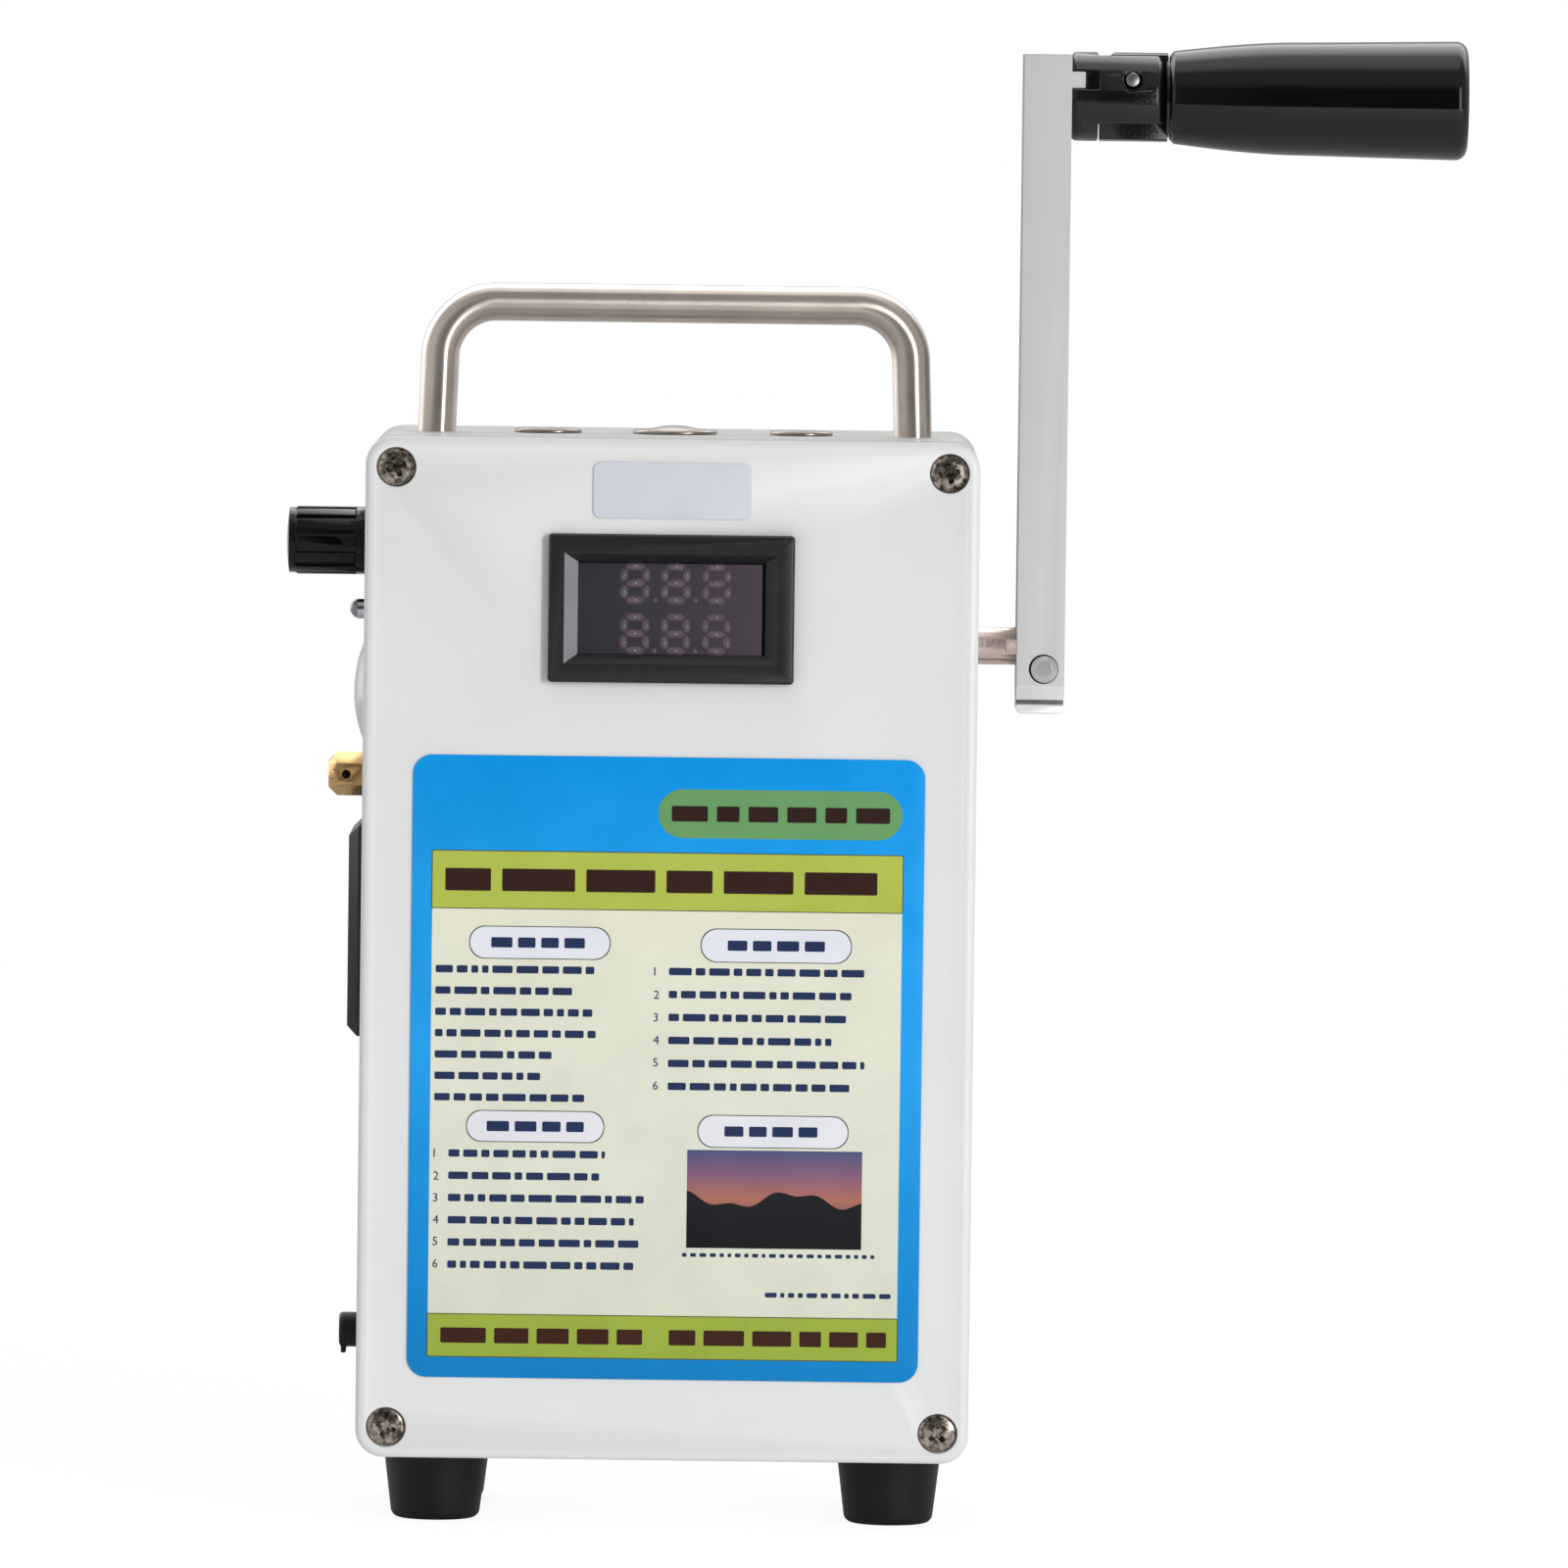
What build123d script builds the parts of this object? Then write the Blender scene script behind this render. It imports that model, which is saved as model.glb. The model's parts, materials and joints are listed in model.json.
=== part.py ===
from build123d import *
import os
from math import acos, cos, pi, radians, sin, tan

os.makedirs("parts", exist_ok=True)

# A hand crank generator in a moulded box. All sizes are in millimetres, X runs to the crank
# side, Y to the back and Z up. The pieces are made about the middle of the housing's underside,
# and leave_in_row_frame moves them to the frame of the whole object at the end.

# Fits
running_gap = 0.05       # radial clearance of a shaft that turns or a cap that slides
seat_gap = 0.1           # clearance of a piece that is fixed in its seat
face_gap = 0.3           # between faces of pieces that move past each other
cut_margin = 1.0         # how far a cut reaches past the face that it opens

# Housing: a deep base and a shallow lid that closes its front
housing_width = 120.0
housing_depth = 75.0
housing_height = 200.0
wall = 3.0
corner_radius = 5.5
edge_radius = 1.5
lid_depth = 15.0
gasket_width = 1.1
gasket_depth = 1.1

# Lid screws, sunk in recesses at the four corners
lid_screw_inset = 6.0
lid_screw_head = 7.2
lid_screw_head_height = 2.0
lid_screw_dome = 0.5
lid_screw_shank = 4.0
lid_screw_length = 20.0
lid_recess = 7.8
upper_recess_depth = 2.0
lower_recess_depth = 0.3
pillar_diameter = 11.0
base_pillar_length = 14.0

# Rubber feet under the base, each with its screw
foot_height = 14.0
foot_top = 20.6
foot_bottom = 17.2
foot_edge = 1.75
foot_inset_x = 15.3      # from the side of the housing to the foot's axis
foot_inset_y = 10.5      # from the seam or the back to the foot's axis
foot_screw_head = 7.5
foot_screw_head_height = 2.5
foot_screw_shank = 4.0
foot_sole = 6.5          # rubber between the screw head and the housing
foot_counterbore = 9.0
foot_boss_height = 5.0
foot_boss = 9.0

# Carry bar: a bent rod, held by screws from inside
rod_diameter = 7.5
rod_inset = 13.0         # from the side of the housing to a leg's axis
rod_rise = 29.4          # from the housing to the top of the rod
rod_bend = 11.0
rod_lean = 2.0           # degrees that each leg leans inwards
rod_screw_shank = 4.0
rod_screw_head = 9.0
rod_screw_head_height = 3.5
rod_screw_grip = 12.0    # how far the screw goes up into the leg

# Panel meter in the lid
meter_width = 48.0
meter_height = 29.0
meter_flange = 2.5
meter_corner = 0.8
meter_edge = 0.4
meter_drop = 33.0        # from the top of the housing to the meter's middle
meter_body_width = 45.6
meter_body_height = 26.6
meter_body_depth = 17.5
meter_wall = 1.2
meter_mouth_width = 41.8
meter_mouth_height = 21.6
meter_window_width = 36.6
meter_window_height = 18.0
meter_bevel_depth = 2.2
meter_window_thickness = 1.0
meter_display_depth = 6.5
meter_board_thickness = 1.6
cutout_gap = 0.2

# Printed sheet and small name plate on the lid
sheet_width = 100.0
sheet_bottom = 16.0      # above the underside of the housing
sheet_meter_gap = 14.5   # from the sheet up to the meter
sheet_radius = 3.75
sheet_thickness = 0.4
plate_width = 31.0
plate_height = 11.0
plate_drop = 10.0        # from the top of the housing to its middle
plate_radius = 1.0

# Crank: shaft, flat arm and folding handle
crank_drop = 41.5        # from the top of the housing to the shaft axis
shaft_diameter = 7.4
shaft_flat_depth = 0.3
shaft_flat_end = 2.0     # distance from the end of the flat to the arm
arm_standoff = 8.0       # between the housing and the arm
arm_thickness = 9.5
arm_width = 20.0
arm_above = 117.2        # from the shaft axis to the top of the arm
arm_below = 13.0
arm_flat_below = 7.4     # where the front of the arm ends and its chamfer starts
arm_chamfer = 2.9
arm_groove = 0.9
arm_groove_depth = 1.5
arm_end_radius = 1.2
lock_screw_head = 5.4
lock_screw_dome = 0.9
lock_screw_shank = 3.0
lock_screw_drop = 4.1    # below the shaft axis
lock_screw_offset = 0.8  # outwards from the middle of the arm
crank_radius = 109.0     # from the shaft axis to the handle axis

hub_diameter = 17.6
hub_length = 18.4
hub_base = 5.3           # thickness of the disc that carries the two ears
hub_chamfer = 1.3
hub_flat_drop = 5.2      # below the handle axis the ears are cut flat
hub_slot = 6.0           # gap between the ears
hub_stud = 6.0
tongue_thickness = 5.6
key_reach = 2.7
key_height = 3.5
key_rise = 3.3           # of the key's middle above the handle axis
key_depth = 4.0
key_inset = 1.0          # from the front of the knuckle to the key
pin_diameter = 2.8
pin_countersink = 4.4
pin_countersink_depth = 0.8
pin_reach = 12.0         # from the arm to the fold pin
pin_rise = 3.4           # of the fold pin above the handle axis

grip_start = 19.4        # from the arm to the grip
grip_length = 59.0
grip_root_radius = 9.2
grip_swell_at = 27.0
grip_swell_radius = 11.2
grip_swell_share = 0.6   # of the swell that is reached halfway to it
grip_end_radius = 11.8
grip_end_rounding = 2.5
grip_root_chamfer = 0.9
grip_end_wall = 7.0
spindle_diameter = 8.0
spindle_stud = 5.0
spindle_stud_length = 4.0

# Gear train: crank gear, compound idler, generator pinion
module = 1.0
crank_teeth = 48
idler_small_teeth = 12
idler_large_teeth = 40
pinion_teeth = 12
pressure_angle = radians(20)
addendum = 1.0           # in modules
dedendum = 1.25          # in modules
backlash = 0.12          # taken off each tooth at the pitch circle
gear_plate = 2.0
gear_space = 17.0        # between the two gear plates
wall_boss_height = 3.0
crank_gear_width = 6.0
idler_gear_width = 5.0
gear_end_gap = 1.5       # from a gear to the plate beside it
gear_side_gap = 2.0      # between the crank gear and the large idler gear
gear_back_gap = 1.5      # from the crank gear to the back wall
idler_shaft_diameter = 6.0
pillar_outer = 7.0
plate_screw_shank = 3.0
plate_screw_head = 5.5
plate_screw_head_height = 2.0
plate_screw_in_boss = 2.5
plate_pillar_reach = 19.4     # of the upper pillars from the crank axis, along Y
plate_pillar_rise = 23.0      # of the upper pillars above the crank axis
lower_pillar_drop = 14.0      # of the lower pillars below the generator axis
lower_pillar_gap = 0.8        # between the generator and the heads of the lower screws
plate_margin = 3.4
bush_outer = 11.0

# Generator, sized from its rotor outwards
can_length = 51.0
can_wall = 2.0
end_cap_length = 4.0
stator_length = 34.0
stator_ring = 2.4
stator_slot = 3.95       # depth of the winding slots between the teeth
stator_teeth = 6
stator_tooth_width = 4.0
coil_thickness = 1.5
coil_overhang = 3.0
rotor_diameter = 22.2
rotor_air_gap = 0.5
rotor_shaft_diameter = 5.0
bearing_outer = 13.0
bearing_width = 4.0
bearing_boss_wall = 2.0

# Cells lying in their tray, in two layers
cell_diameter = 18.2
cell_length = 65.0
cell_pitch = 18.5
cell_columns = 3
cell_layers = 2
tray_height = 15.0
tray_floor = 5.0
tray_rim = 1.5
tray_back_gap = 1.3      # from the tray to the back wall

# Inverter on the back wall
board_width = 68.0
board_height = 60.0
board_thickness = 1.6
board_x = -10.0
board_drop = 42.0        # from the top of the housing to its middle
standoff_height = 4.5
standoff_diameter = 6.0
standoff_inset = 4.0
transformer_size = 26.0
transformer_depth = 20.0
transformer_x = -26.0
transformer_drop = 12.0  # below the middle of the board
winding_margin = 4.0
winding_overhang = 1.5
heat_sink_x = 4.0
heat_sink_drop = 10.0    # below the middle of the board
heat_sink_width = 24.0
heat_sink_height = 34.0
heat_sink_depth = 18.0
heat_sink_base = 3.0
heat_sink_fins = 6
heat_sink_fin = 1.4

# Left side: everything sits on one line down the side of the base. Each drop is from the top
# of the housing to the piece's middle.
side_y = 4.0
knob_drop = 22.0
knob_diameter = 13.4
knob_reach = 16.5
knob_collar = 2.5
knob_end_collar = 2.0
knob_collar_diameter = 13.3
knob_end_diameter = 12.9
knob_flutes = 12
knob_flute_width = 1.1
knob_flute_depth = 0.6
knob_dome = 0.5
knob_hollow = 11.8
knob_hollow_depth = 3.4
knob_end_wall = 3.0
control_shaft = 6.0
control_shaft_clearance = 2.0     # between its end and the end of the body
control_bushing = 7.0
control_bushing_length = 6.0
control_body = 16.5
control_body_length = 8.0
control_body_wall = 1.0
control_nut = 10.0
control_nut_thickness = 2.0

indicator_drop = 35.4
indicator_diameter = 4.2
indicator_holder_reach = 2.4
indicator_reach = 3.9
indicator_lead = 3.0
indicator_flange = 6.0
indicator_flange_thickness = 1.2

lamp_drop = 51.7
lamp_diameter = 24.0
lamp_dome = 2.9
lamp_skirt = 20.0
lamp_skirt_wall = 1.2
lamp_skirt_length = 7.0
lamp_ring_outer = 24.0
lamp_ring_thickness = 2.0
lamp_board_thickness = 1.6
lamp_chips = 6
lamp_chip = 2.0
lamp_chip_height = 1.0
lamp_chip_circle = 6.0

post_drop = 68.2
post_across_flats = 7.6
post_reach = 7.75
post_stud = 4.0
post_stud_length = 9.0
post_wire_hole = 3.0
post_wire_depth = 6.0
post_clamp_screw = 1.6
post_clamp_x = 4.2       # of the clamp screw from the wall
post_end_chamfer = 1.7
nut_thickness = 2.4
post_nut = 7.0

outlet_drop = 98.3
outlet_height = 41.6
outlet_width = 35.0
outlet_thickness = 3.2
outlet_chamfer = 2.0
outlet_body_height = 38.0
outlet_body_width = 31.0
outlet_body_depth = 22.0
outlet_slot_width = 2.0
outlet_slot_length = 7.0
outlet_slot_depth = 18.0
outlet_pair_pitch = 12.7      # the upper pair of slots
outlet_pair_rise = 10.5
outlet_middle_drop = 1.5      # the upright slot of the lower three
outlet_side_pitch = 13.0      # the leaning slots beside and below it
outlet_side_drop = 10.5
outlet_side_lean = 30.0       # degrees
contact_length = 8.0

jack_z = 21.4
jack_diameter = 7.8
jack_length = 13.0
jack_bore = 5.5
jack_bore_depth = 10.0
jack_pin = 2.1
jack_pin_depth = 1.0     # of its tip below the wall
jack_nut = 11.0
plug_diameter = 6.9
plug_reach = 4.5
plug_edge = 0.8
plug_stem_length = 8.0
plug_tab_thickness = 1.0
plug_tab_drop = 1.1
plug_tab_depth = 4.0
plug_tab_inset = 0.4     # from the end of the plug

# Push buttons in the top, as [place along X, bezel diameter, dome height, body diameter]
button_y = 0.0
button_bezel = 0.8       # height of the bezel over the top
button_bezel_edge = 0.27
button_rim = 1.6         # of the bezel around the threaded body
button_wall = 1.2        # of the threaded body around the cap
button_floor = 2.0
button_body_length = 18.0
button_cap_length = 9.0
button_nut_thickness = 2.5
button_nut_rim = 1.5
buttons = {
    "left": (-25.0, 13.2, 0.2),
    "middle": (0.0, 16.6, 0.9),
    "right": (25.0, 12.4, 0.2),
}

# Places worked out from the sizes above
side_x = housing_width / 2
front_y = -housing_depth / 2
back_y = housing_depth / 2
seam_y = front_y + lid_depth
inner_x = side_x - wall
inner_back_y = back_y - wall
ceiling_z = housing_height - wall
meter_z = housing_height - meter_drop
sheet_height = meter_z - meter_height / 2 - sheet_meter_gap - sheet_bottom
sheet_z = sheet_bottom + sheet_height / 2
plate_z = housing_height - plate_drop
arm_x = side_x + arm_standoff
hub_x = arm_x + arm_thickness
tray_width = cell_length + 2 * (seat_gap + tray_rim)
tray_depth = (cell_columns - 1) * cell_pitch + cell_diameter + 2 * (seat_gap + tray_rim)
cell_y = inner_back_y - tray_back_gap - tray_depth / 2
crank_gear_radius = module * (crank_teeth / 2 + addendum)
crank_y = inner_back_y - gear_back_gap - crank_gear_radius
crank_z = housing_height - crank_drop
handle_z = crank_z + crank_radius
pin_x = hub_x + pin_reach
pin_z = handle_z + pin_rise
grip_x = hub_x + grip_start
idler_z = crank_z - module * (crank_teeth + idler_small_teeth) / 2
generator_z = idler_z - module * (idler_large_teeth + pinion_teeth) / 2
outer_plate_x = inner_x - wall_boss_height - gear_plate
inner_plate_x = outer_plate_x - gear_space - gear_plate
can_x = inner_plate_x - can_length
stator_bore = rotor_diameter + 2 * rotor_air_gap
can_diameter = stator_bore + 2 * (stator_slot + stator_ring + running_gap + can_wall)
lower_pillar_away = can_diameter / 2 + lower_pillar_gap + plate_screw_head / 2
lower_pillar_reach = (lower_pillar_away**2 - lower_pillar_drop**2) ** 0.5
board_z = housing_height - board_drop
transformer_z = board_z - transformer_drop
heat_sink_z = board_z - heat_sink_drop
knob_z = housing_height - knob_drop
indicator_z = housing_height - indicator_drop
lamp_z = housing_height - lamp_drop
post_z = housing_height - post_drop
outlet_z = housing_height - outlet_drop
crank_gear_x = outer_plate_x - gear_end_gap - crank_gear_width
idler_large_x = crank_gear_x - gear_side_gap - idler_gear_width
plate_corners = [
    (crank_y - plate_pillar_reach, crank_z + plate_pillar_rise),
    (crank_y + plate_pillar_reach, crank_z + plate_pillar_rise),
    (crank_y - lower_pillar_reach, generator_z - lower_pillar_drop),
    (crank_y + lower_pillar_reach, generator_z - lower_pillar_drop),
]
lid_screw_places = [
    (x * (side_x - lid_screw_inset), z, depth)
    for x in (-1, 1)
    for z, depth in (
        (lid_screw_inset, lower_recess_depth),
        (housing_height - lid_screw_inset, upper_recess_depth),
    )
]
foot_places = [
    (x, y)
    for x in (foot_inset_x - side_x, side_x - foot_inset_x)
    for y in (seam_y + foot_inset_y, back_y - foot_inset_y)
]
rod_span = housing_width - 2 * rod_inset
rod_places = [(x * rod_span / 2, 0) for x in (-1, 1)]
plug_face_x = -side_x - face_gap
row_origin = (
    (hub_x + grip_start + grip_length - side_x - knob_reach) / 2,
    (back_y + front_y - meter_flange) / 2,
    -foot_height,
)


def along_x(radius, x_from, x_to, y, z):
    """A round bar along X."""
    return Pos((x_from + x_to) / 2, y, z) * Rot(0, 90, 0) * Cylinder(radius, abs(x_to - x_from))


def along_y(radius, y_from, y_to, x, z):
    """A round bar along Y."""
    return Pos(x, (y_from + y_to) / 2, z) * Rot(90, 0, 0) * Cylinder(radius, abs(y_to - y_from))


def along_z(radius, z_from, z_to, x, y):
    """A round bar along Z."""
    return Pos(x, y, (z_from + z_to) / 2) * Cylinder(radius, abs(z_to - z_from))


def block(x_from, x_to, y_from, y_to, z_from, z_to):
    """A box between two corners."""
    middle = Pos((x_from + x_to) / 2, (y_from + y_to) / 2, (z_from + z_to) / 2)
    return middle * Box(abs(x_to - x_from), abs(y_to - y_from), abs(z_to - z_from))


def panel(width, height, radius, y_from, y_to, x, z):
    """A flat plate that faces the front, with rounded corners."""
    sketch = Plane((x, y_to, z), x_dir=(1, 0, 0), z_dir=(0, -1, 0)) * RectangleRounded(
        width, height, radius
    )
    return extrude(sketch, y_to - y_from)


def turned_x(profile, y, z):
    """A turned piece about an axis along X: profile is a list of (x, radius) points."""
    points = [(x, r) for x, r in profile]
    face = make_face(Polyline(*points, close=True))
    return Pos(0, y, z) * revolve(face, Axis.X)


def turned_z(profile, x, y):
    """A turned piece about an upright axis: profile is a list of (radius, z) points."""
    face = Plane.XZ * make_face(Polyline(*profile, close=True))
    return Pos(x, y, 0) * revolve(face, Axis.Z)


def hexagon_x(across_flats, x_from, x_to, y, z):
    """A hexagonal bar along X with one flat to the front."""
    plane = Plane((min(x_from, x_to), y, z), x_dir=(0, 0, 1), z_dir=(1, 0, 0))
    sketch = plane * RegularPolygon(across_flats / 2, 6, major_radius=False, rotation=0)
    return extrude(sketch, abs(x_to - x_from))


def dome_x(radius, height, x_base, y, z, direction):
    """A spherical cap on a base disc, bulging along X."""
    bulge = (radius * radius + height * height) / (2 * height)
    arc = ThreePointArc(
        (x_base, radius),
        (
            x_base + direction * (height - bulge + bulge * cos(radius / bulge / 2)),
            bulge * sin(radius / bulge / 2),
        ),
        (x_base + direction * height, 0),
    )
    edges = arc + Line((x_base + direction * height, 0), (x_base, 0)) + Line((x_base, 0), (x_base, radius))
    return Pos(0, y, z) * revolve(make_face(edges), Axis.X)


def dome_z(radius, height, z_base, x, y):
    """A spherical cap that bulges up from a base disc."""
    return Pos(x, y, 0) * Rot(0, -90, 0) * dome_x(radius, height, z_base, 0, 0, 1)


def dome_front(radius, height, y_base, x, z):
    """A spherical cap that bulges to the front."""
    return Pos(x, 0, z) * Rot(0, 0, 90) * dome_x(radius, height, y_base, 0, 0, -1)


def hollow_box(y_from, y_to, edge_at):
    """The housing's outer form from y_from to y_to, with its outer edge rounded at one end."""
    form = panel(
        housing_width, housing_height, corner_radius, y_from, y_to, 0, housing_height / 2
    )
    edges = form.edges().group_by(Axis.Y)[edge_at]
    return fillet(edges, edge_radius)


def cavity(y_from, y_to):
    """The space inside the housing from y_from to y_to."""
    return panel(
        housing_width - 2 * wall,
        housing_height - 2 * wall,
        corner_radius - wall,
        y_from,
        y_to,
        0,
        housing_height / 2,
    )


def gasket_path(extra, y_from, y_to):
    """The ring that the gasket fills, made wider by extra on each side."""
    rings = []
    for side in (1, -1):
        inset = wall / 2 - side * (gasket_width / 2 + extra)
        rings.append(
            panel(
                housing_width - 2 * inset,
                housing_height - 2 * inset,
                corner_radius - inset,
                y_from,
                y_to,
                0,
                housing_height / 2,
            )
        )
    return rings[0] - rings[1]


def housing_base():
    body = hollow_box(seam_y, back_y, -1) - cavity(seam_y, inner_back_y)
    outline = panel(
        housing_width, housing_height, corner_radius, seam_y, back_y, 0, housing_height / 2
    )
    for x, z, depth in lid_screw_places:
        pillar = along_y(pillar_diameter / 2, seam_y, seam_y + base_pillar_length, x, z)
        body += pillar & outline
        screw_end = front_y + depth + lid_screw_head_height + lid_screw_length
        body -= along_y(lid_screw_shank / 2 + seat_gap, seam_y, screw_end + face_gap, x, z)
    for y, z in plate_corners:
        body += along_x(pillar_outer / 2, inner_x - wall_boss_height, inner_x, y, z)
        hole_end = inner_x - wall_boss_height + plate_screw_in_boss + face_gap
        body -= along_x(
            plate_screw_shank / 2 + seat_gap, inner_x - wall_boss_height, hole_end, y, z
        )
    for x, y in foot_places:
        body += along_z(foot_boss / 2, wall, wall + foot_boss_height, x, y)
        body -= along_z(foot_screw_shank / 2 + seat_gap, 0, wall + foot_boss_height, x, y)
    for x, z in standoff_places():
        body += along_y(
            standoff_diameter / 2, inner_back_y - standoff_height, inner_back_y, x, z
        )
    for x, y in rod_places:
        body -= along_z(rod_screw_shank / 2 + seat_gap, ceiling_z, housing_height, x, y)
    for x, bezel, dome in buttons.values():
        body -= along_z(button_body_radius(bezel) + seat_gap, ceiling_z, housing_height, x, button_y)
    body -= gasket_path(seat_gap, seam_y, seam_y + gasket_depth + seat_gap)
    body -= along_x(bush_outer / 2 + seat_gap, inner_x, side_x, crank_y, crank_z)
    body -= left_side_holes()
    return body


def left_side_holes():
    """Holes in the left wall for the knob, indicator, lamp, post, outlet and jack."""
    rounds = [
        (control_bushing, knob_z),
        (indicator_diameter, indicator_z),
        (lamp_skirt, lamp_z),
        (post_stud, post_z),
        (jack_diameter, jack_z),
    ]
    cutter = block(
        -side_x,
        -inner_x,
        side_y - outlet_body_width / 2 - seat_gap,
        side_y + outlet_body_width / 2 + seat_gap,
        outlet_z - outlet_body_height / 2 - seat_gap,
        outlet_z + outlet_body_height / 2 + seat_gap,
    )
    for diameter, z in rounds:
        cutter += along_x(diameter / 2 + seat_gap, -side_x, -inner_x, side_y, z)
    return cutter


def lid():
    body = hollow_box(front_y, seam_y, 0) - cavity(front_y + wall, seam_y)
    outline = panel(
        housing_width, housing_height, corner_radius, front_y + wall, seam_y, 0, housing_height / 2
    )
    for x, z, depth in lid_screw_places:
        body += along_y(pillar_diameter / 2, front_y + wall, seam_y, x, z) & outline
        body -= along_y(lid_screw_shank / 2 + seat_gap, front_y, seam_y, x, z)
        seat = front_y + depth + lid_screw_head_height
        body -= along_y(lid_recess / 2, front_y, seat, x, z)
    body -= block(
        -meter_body_width / 2 - cutout_gap,
        meter_body_width / 2 + cutout_gap,
        front_y,
        front_y + wall,
        meter_z - meter_body_height / 2 - cutout_gap,
        meter_z + meter_body_height / 2 + cutout_gap,
    )
    return body


def lid_gasket():
    return gasket_path(0, seam_y, seam_y + gasket_depth)


def lid_screws():
    screws = []
    for x, z, depth in lid_screw_places:
        seat = front_y + depth + lid_screw_head_height
        rim = front_y + depth + lid_screw_dome
        screws.append(
            along_y(lid_screw_head / 2, rim, seat, x, z)
            + dome_front(lid_screw_head / 2, lid_screw_dome, rim, x, z)
            + along_y(lid_screw_shank / 2, seat, seat + lid_screw_length, x, z)
        )
    return screws


def foot(x, y):
    taper = (foot_top - foot_bottom) / 2 / foot_height
    body = turned_z(
        [(0, 0), (foot_top / 2, 0), (foot_bottom / 2, -foot_height), (0, -foot_height)], x, y
    )
    rim = body.edges().filter_by(GeomType.CIRCLE).group_by(Axis.Z)[0]
    body = fillet(rim, foot_edge * (1 - taper))
    body -= along_z(foot_counterbore / 2, -foot_height, -foot_sole, x, y)
    return body - along_z(foot_screw_shank / 2 + seat_gap, -foot_sole, 0, x, y)


def feet():
    return [foot(x, y) for x, y in foot_places]


def foot_screws():
    screws = []
    for x, y in foot_places:
        head = along_z(foot_screw_head / 2, -foot_sole - foot_screw_head_height, -foot_sole, x, y)
        screws.append(
            head + along_z(foot_screw_shank / 2, -foot_sole, wall + foot_boss_height, x, y)
        )
    return screws


def carry_handle():
    # the bent rod runs on below the housing's top and is cut off there, so that both feet sit flat
    top = housing_height + rod_rise - rod_diameter / 2
    below = housing_height - rod_diameter
    slope = tan(radians(rod_lean))
    foot = rod_span / 2 + rod_diameter * slope
    shoulder = rod_span / 2 - (top - housing_height) * slope
    path = FilletPolyline(
        (-foot, 0, below),
        (-shoulder, 0, top),
        (shoulder, 0, top),
        (foot, 0, below),
        radius=rod_bend,
    )
    rod = sweep(Plane(origin=path @ 0, z_dir=path % 0) * Circle(rod_diameter / 2), path=path)
    rod -= block(-foot - rod_diameter, foot + rod_diameter, -rod_diameter, rod_diameter, 0, housing_height)
    for x, y in rod_places:
        rod -= along_z(
            rod_screw_shank / 2 + seat_gap,
            housing_height,
            housing_height + rod_screw_grip + face_gap,
            x,
            y,
        )
    return rod


def carry_handle_screws():
    screws = []
    for x, y in rod_places:
        head = along_z(rod_screw_head / 2, ceiling_z - rod_screw_head_height, ceiling_z, x, y)
        shank = along_z(rod_screw_shank / 2, ceiling_z, housing_height + rod_screw_grip, x, y)
        screws.append(head + shank)
    return screws


def meter_bezel():
    flange = panel(
        meter_width, meter_height, meter_corner, front_y - meter_flange, front_y, 0, meter_z
    )
    flange = chamfer(flange.edges().group_by(Axis.Y)[0], meter_edge)
    shell = block(
        -meter_body_width / 2,
        meter_body_width / 2,
        front_y,
        front_y + meter_body_depth,
        meter_z - meter_body_height / 2,
        meter_z + meter_body_height / 2,
    )
    face_back = window_back_y()
    shell -= block(
        -meter_body_width / 2 + meter_wall,
        meter_body_width / 2 - meter_wall,
        face_back,
        front_y + meter_body_depth,
        meter_z - meter_body_height / 2 + meter_wall,
        meter_z + meter_body_height / 2 - meter_wall,
    )
    mouth_y = front_y - meter_flange
    mouth = Plane((0, mouth_y, meter_z), x_dir=(1, 0, 0), z_dir=(0, 1, 0))
    bottom = Plane((0, mouth_y + meter_bevel_depth, meter_z), x_dir=(1, 0, 0), z_dir=(0, 1, 0))
    bevel = loft(
        [
            mouth * Rectangle(meter_mouth_width, meter_mouth_height),
            bottom * Rectangle(meter_window_width, meter_window_height),
        ]
    )
    opening = block(
        -meter_window_width / 2,
        meter_window_width / 2,
        mouth_y + meter_bevel_depth,
        face_back,
        meter_z - meter_window_height / 2,
        meter_z + meter_window_height / 2,
    )
    return flange + shell - bevel - opening


def window_back_y():
    """The back of the meter's window, where its display starts."""
    return front_y - meter_flange + meter_bevel_depth + meter_window_thickness


def meter_window():
    return block(
        -meter_window_width / 2 + running_gap,
        meter_window_width / 2 - running_gap,
        window_back_y() - meter_window_thickness,
        window_back_y(),
        meter_z - meter_window_height / 2 + running_gap,
        meter_z + meter_window_height / 2 - running_gap,
    )


def meter_display():
    width = meter_body_width - 2 * meter_wall - 2 * seat_gap
    height = meter_body_height - 2 * meter_wall - 2 * seat_gap
    return block(
        -width / 2,
        width / 2,
        window_back_y(),
        window_back_y() + meter_display_depth,
        meter_z - height / 2,
        meter_z + height / 2,
    )


def meter_board():
    width = meter_body_width - 2 * meter_wall - 2 * seat_gap
    height = meter_body_height - 2 * meter_wall - 2 * seat_gap
    start = window_back_y() + meter_display_depth
    return block(
        -width / 2,
        width / 2,
        start,
        start + meter_board_thickness,
        meter_z - height / 2,
        meter_z + height / 2,
    )


def front_sheet():
    return panel(
        sheet_width, sheet_height, sheet_radius, front_y - sheet_thickness, front_y, 0, sheet_z
    )


def name_plate():
    return panel(
        plate_width, plate_height, plate_radius, front_y - sheet_thickness, front_y, 0, plate_z
    )


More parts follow.
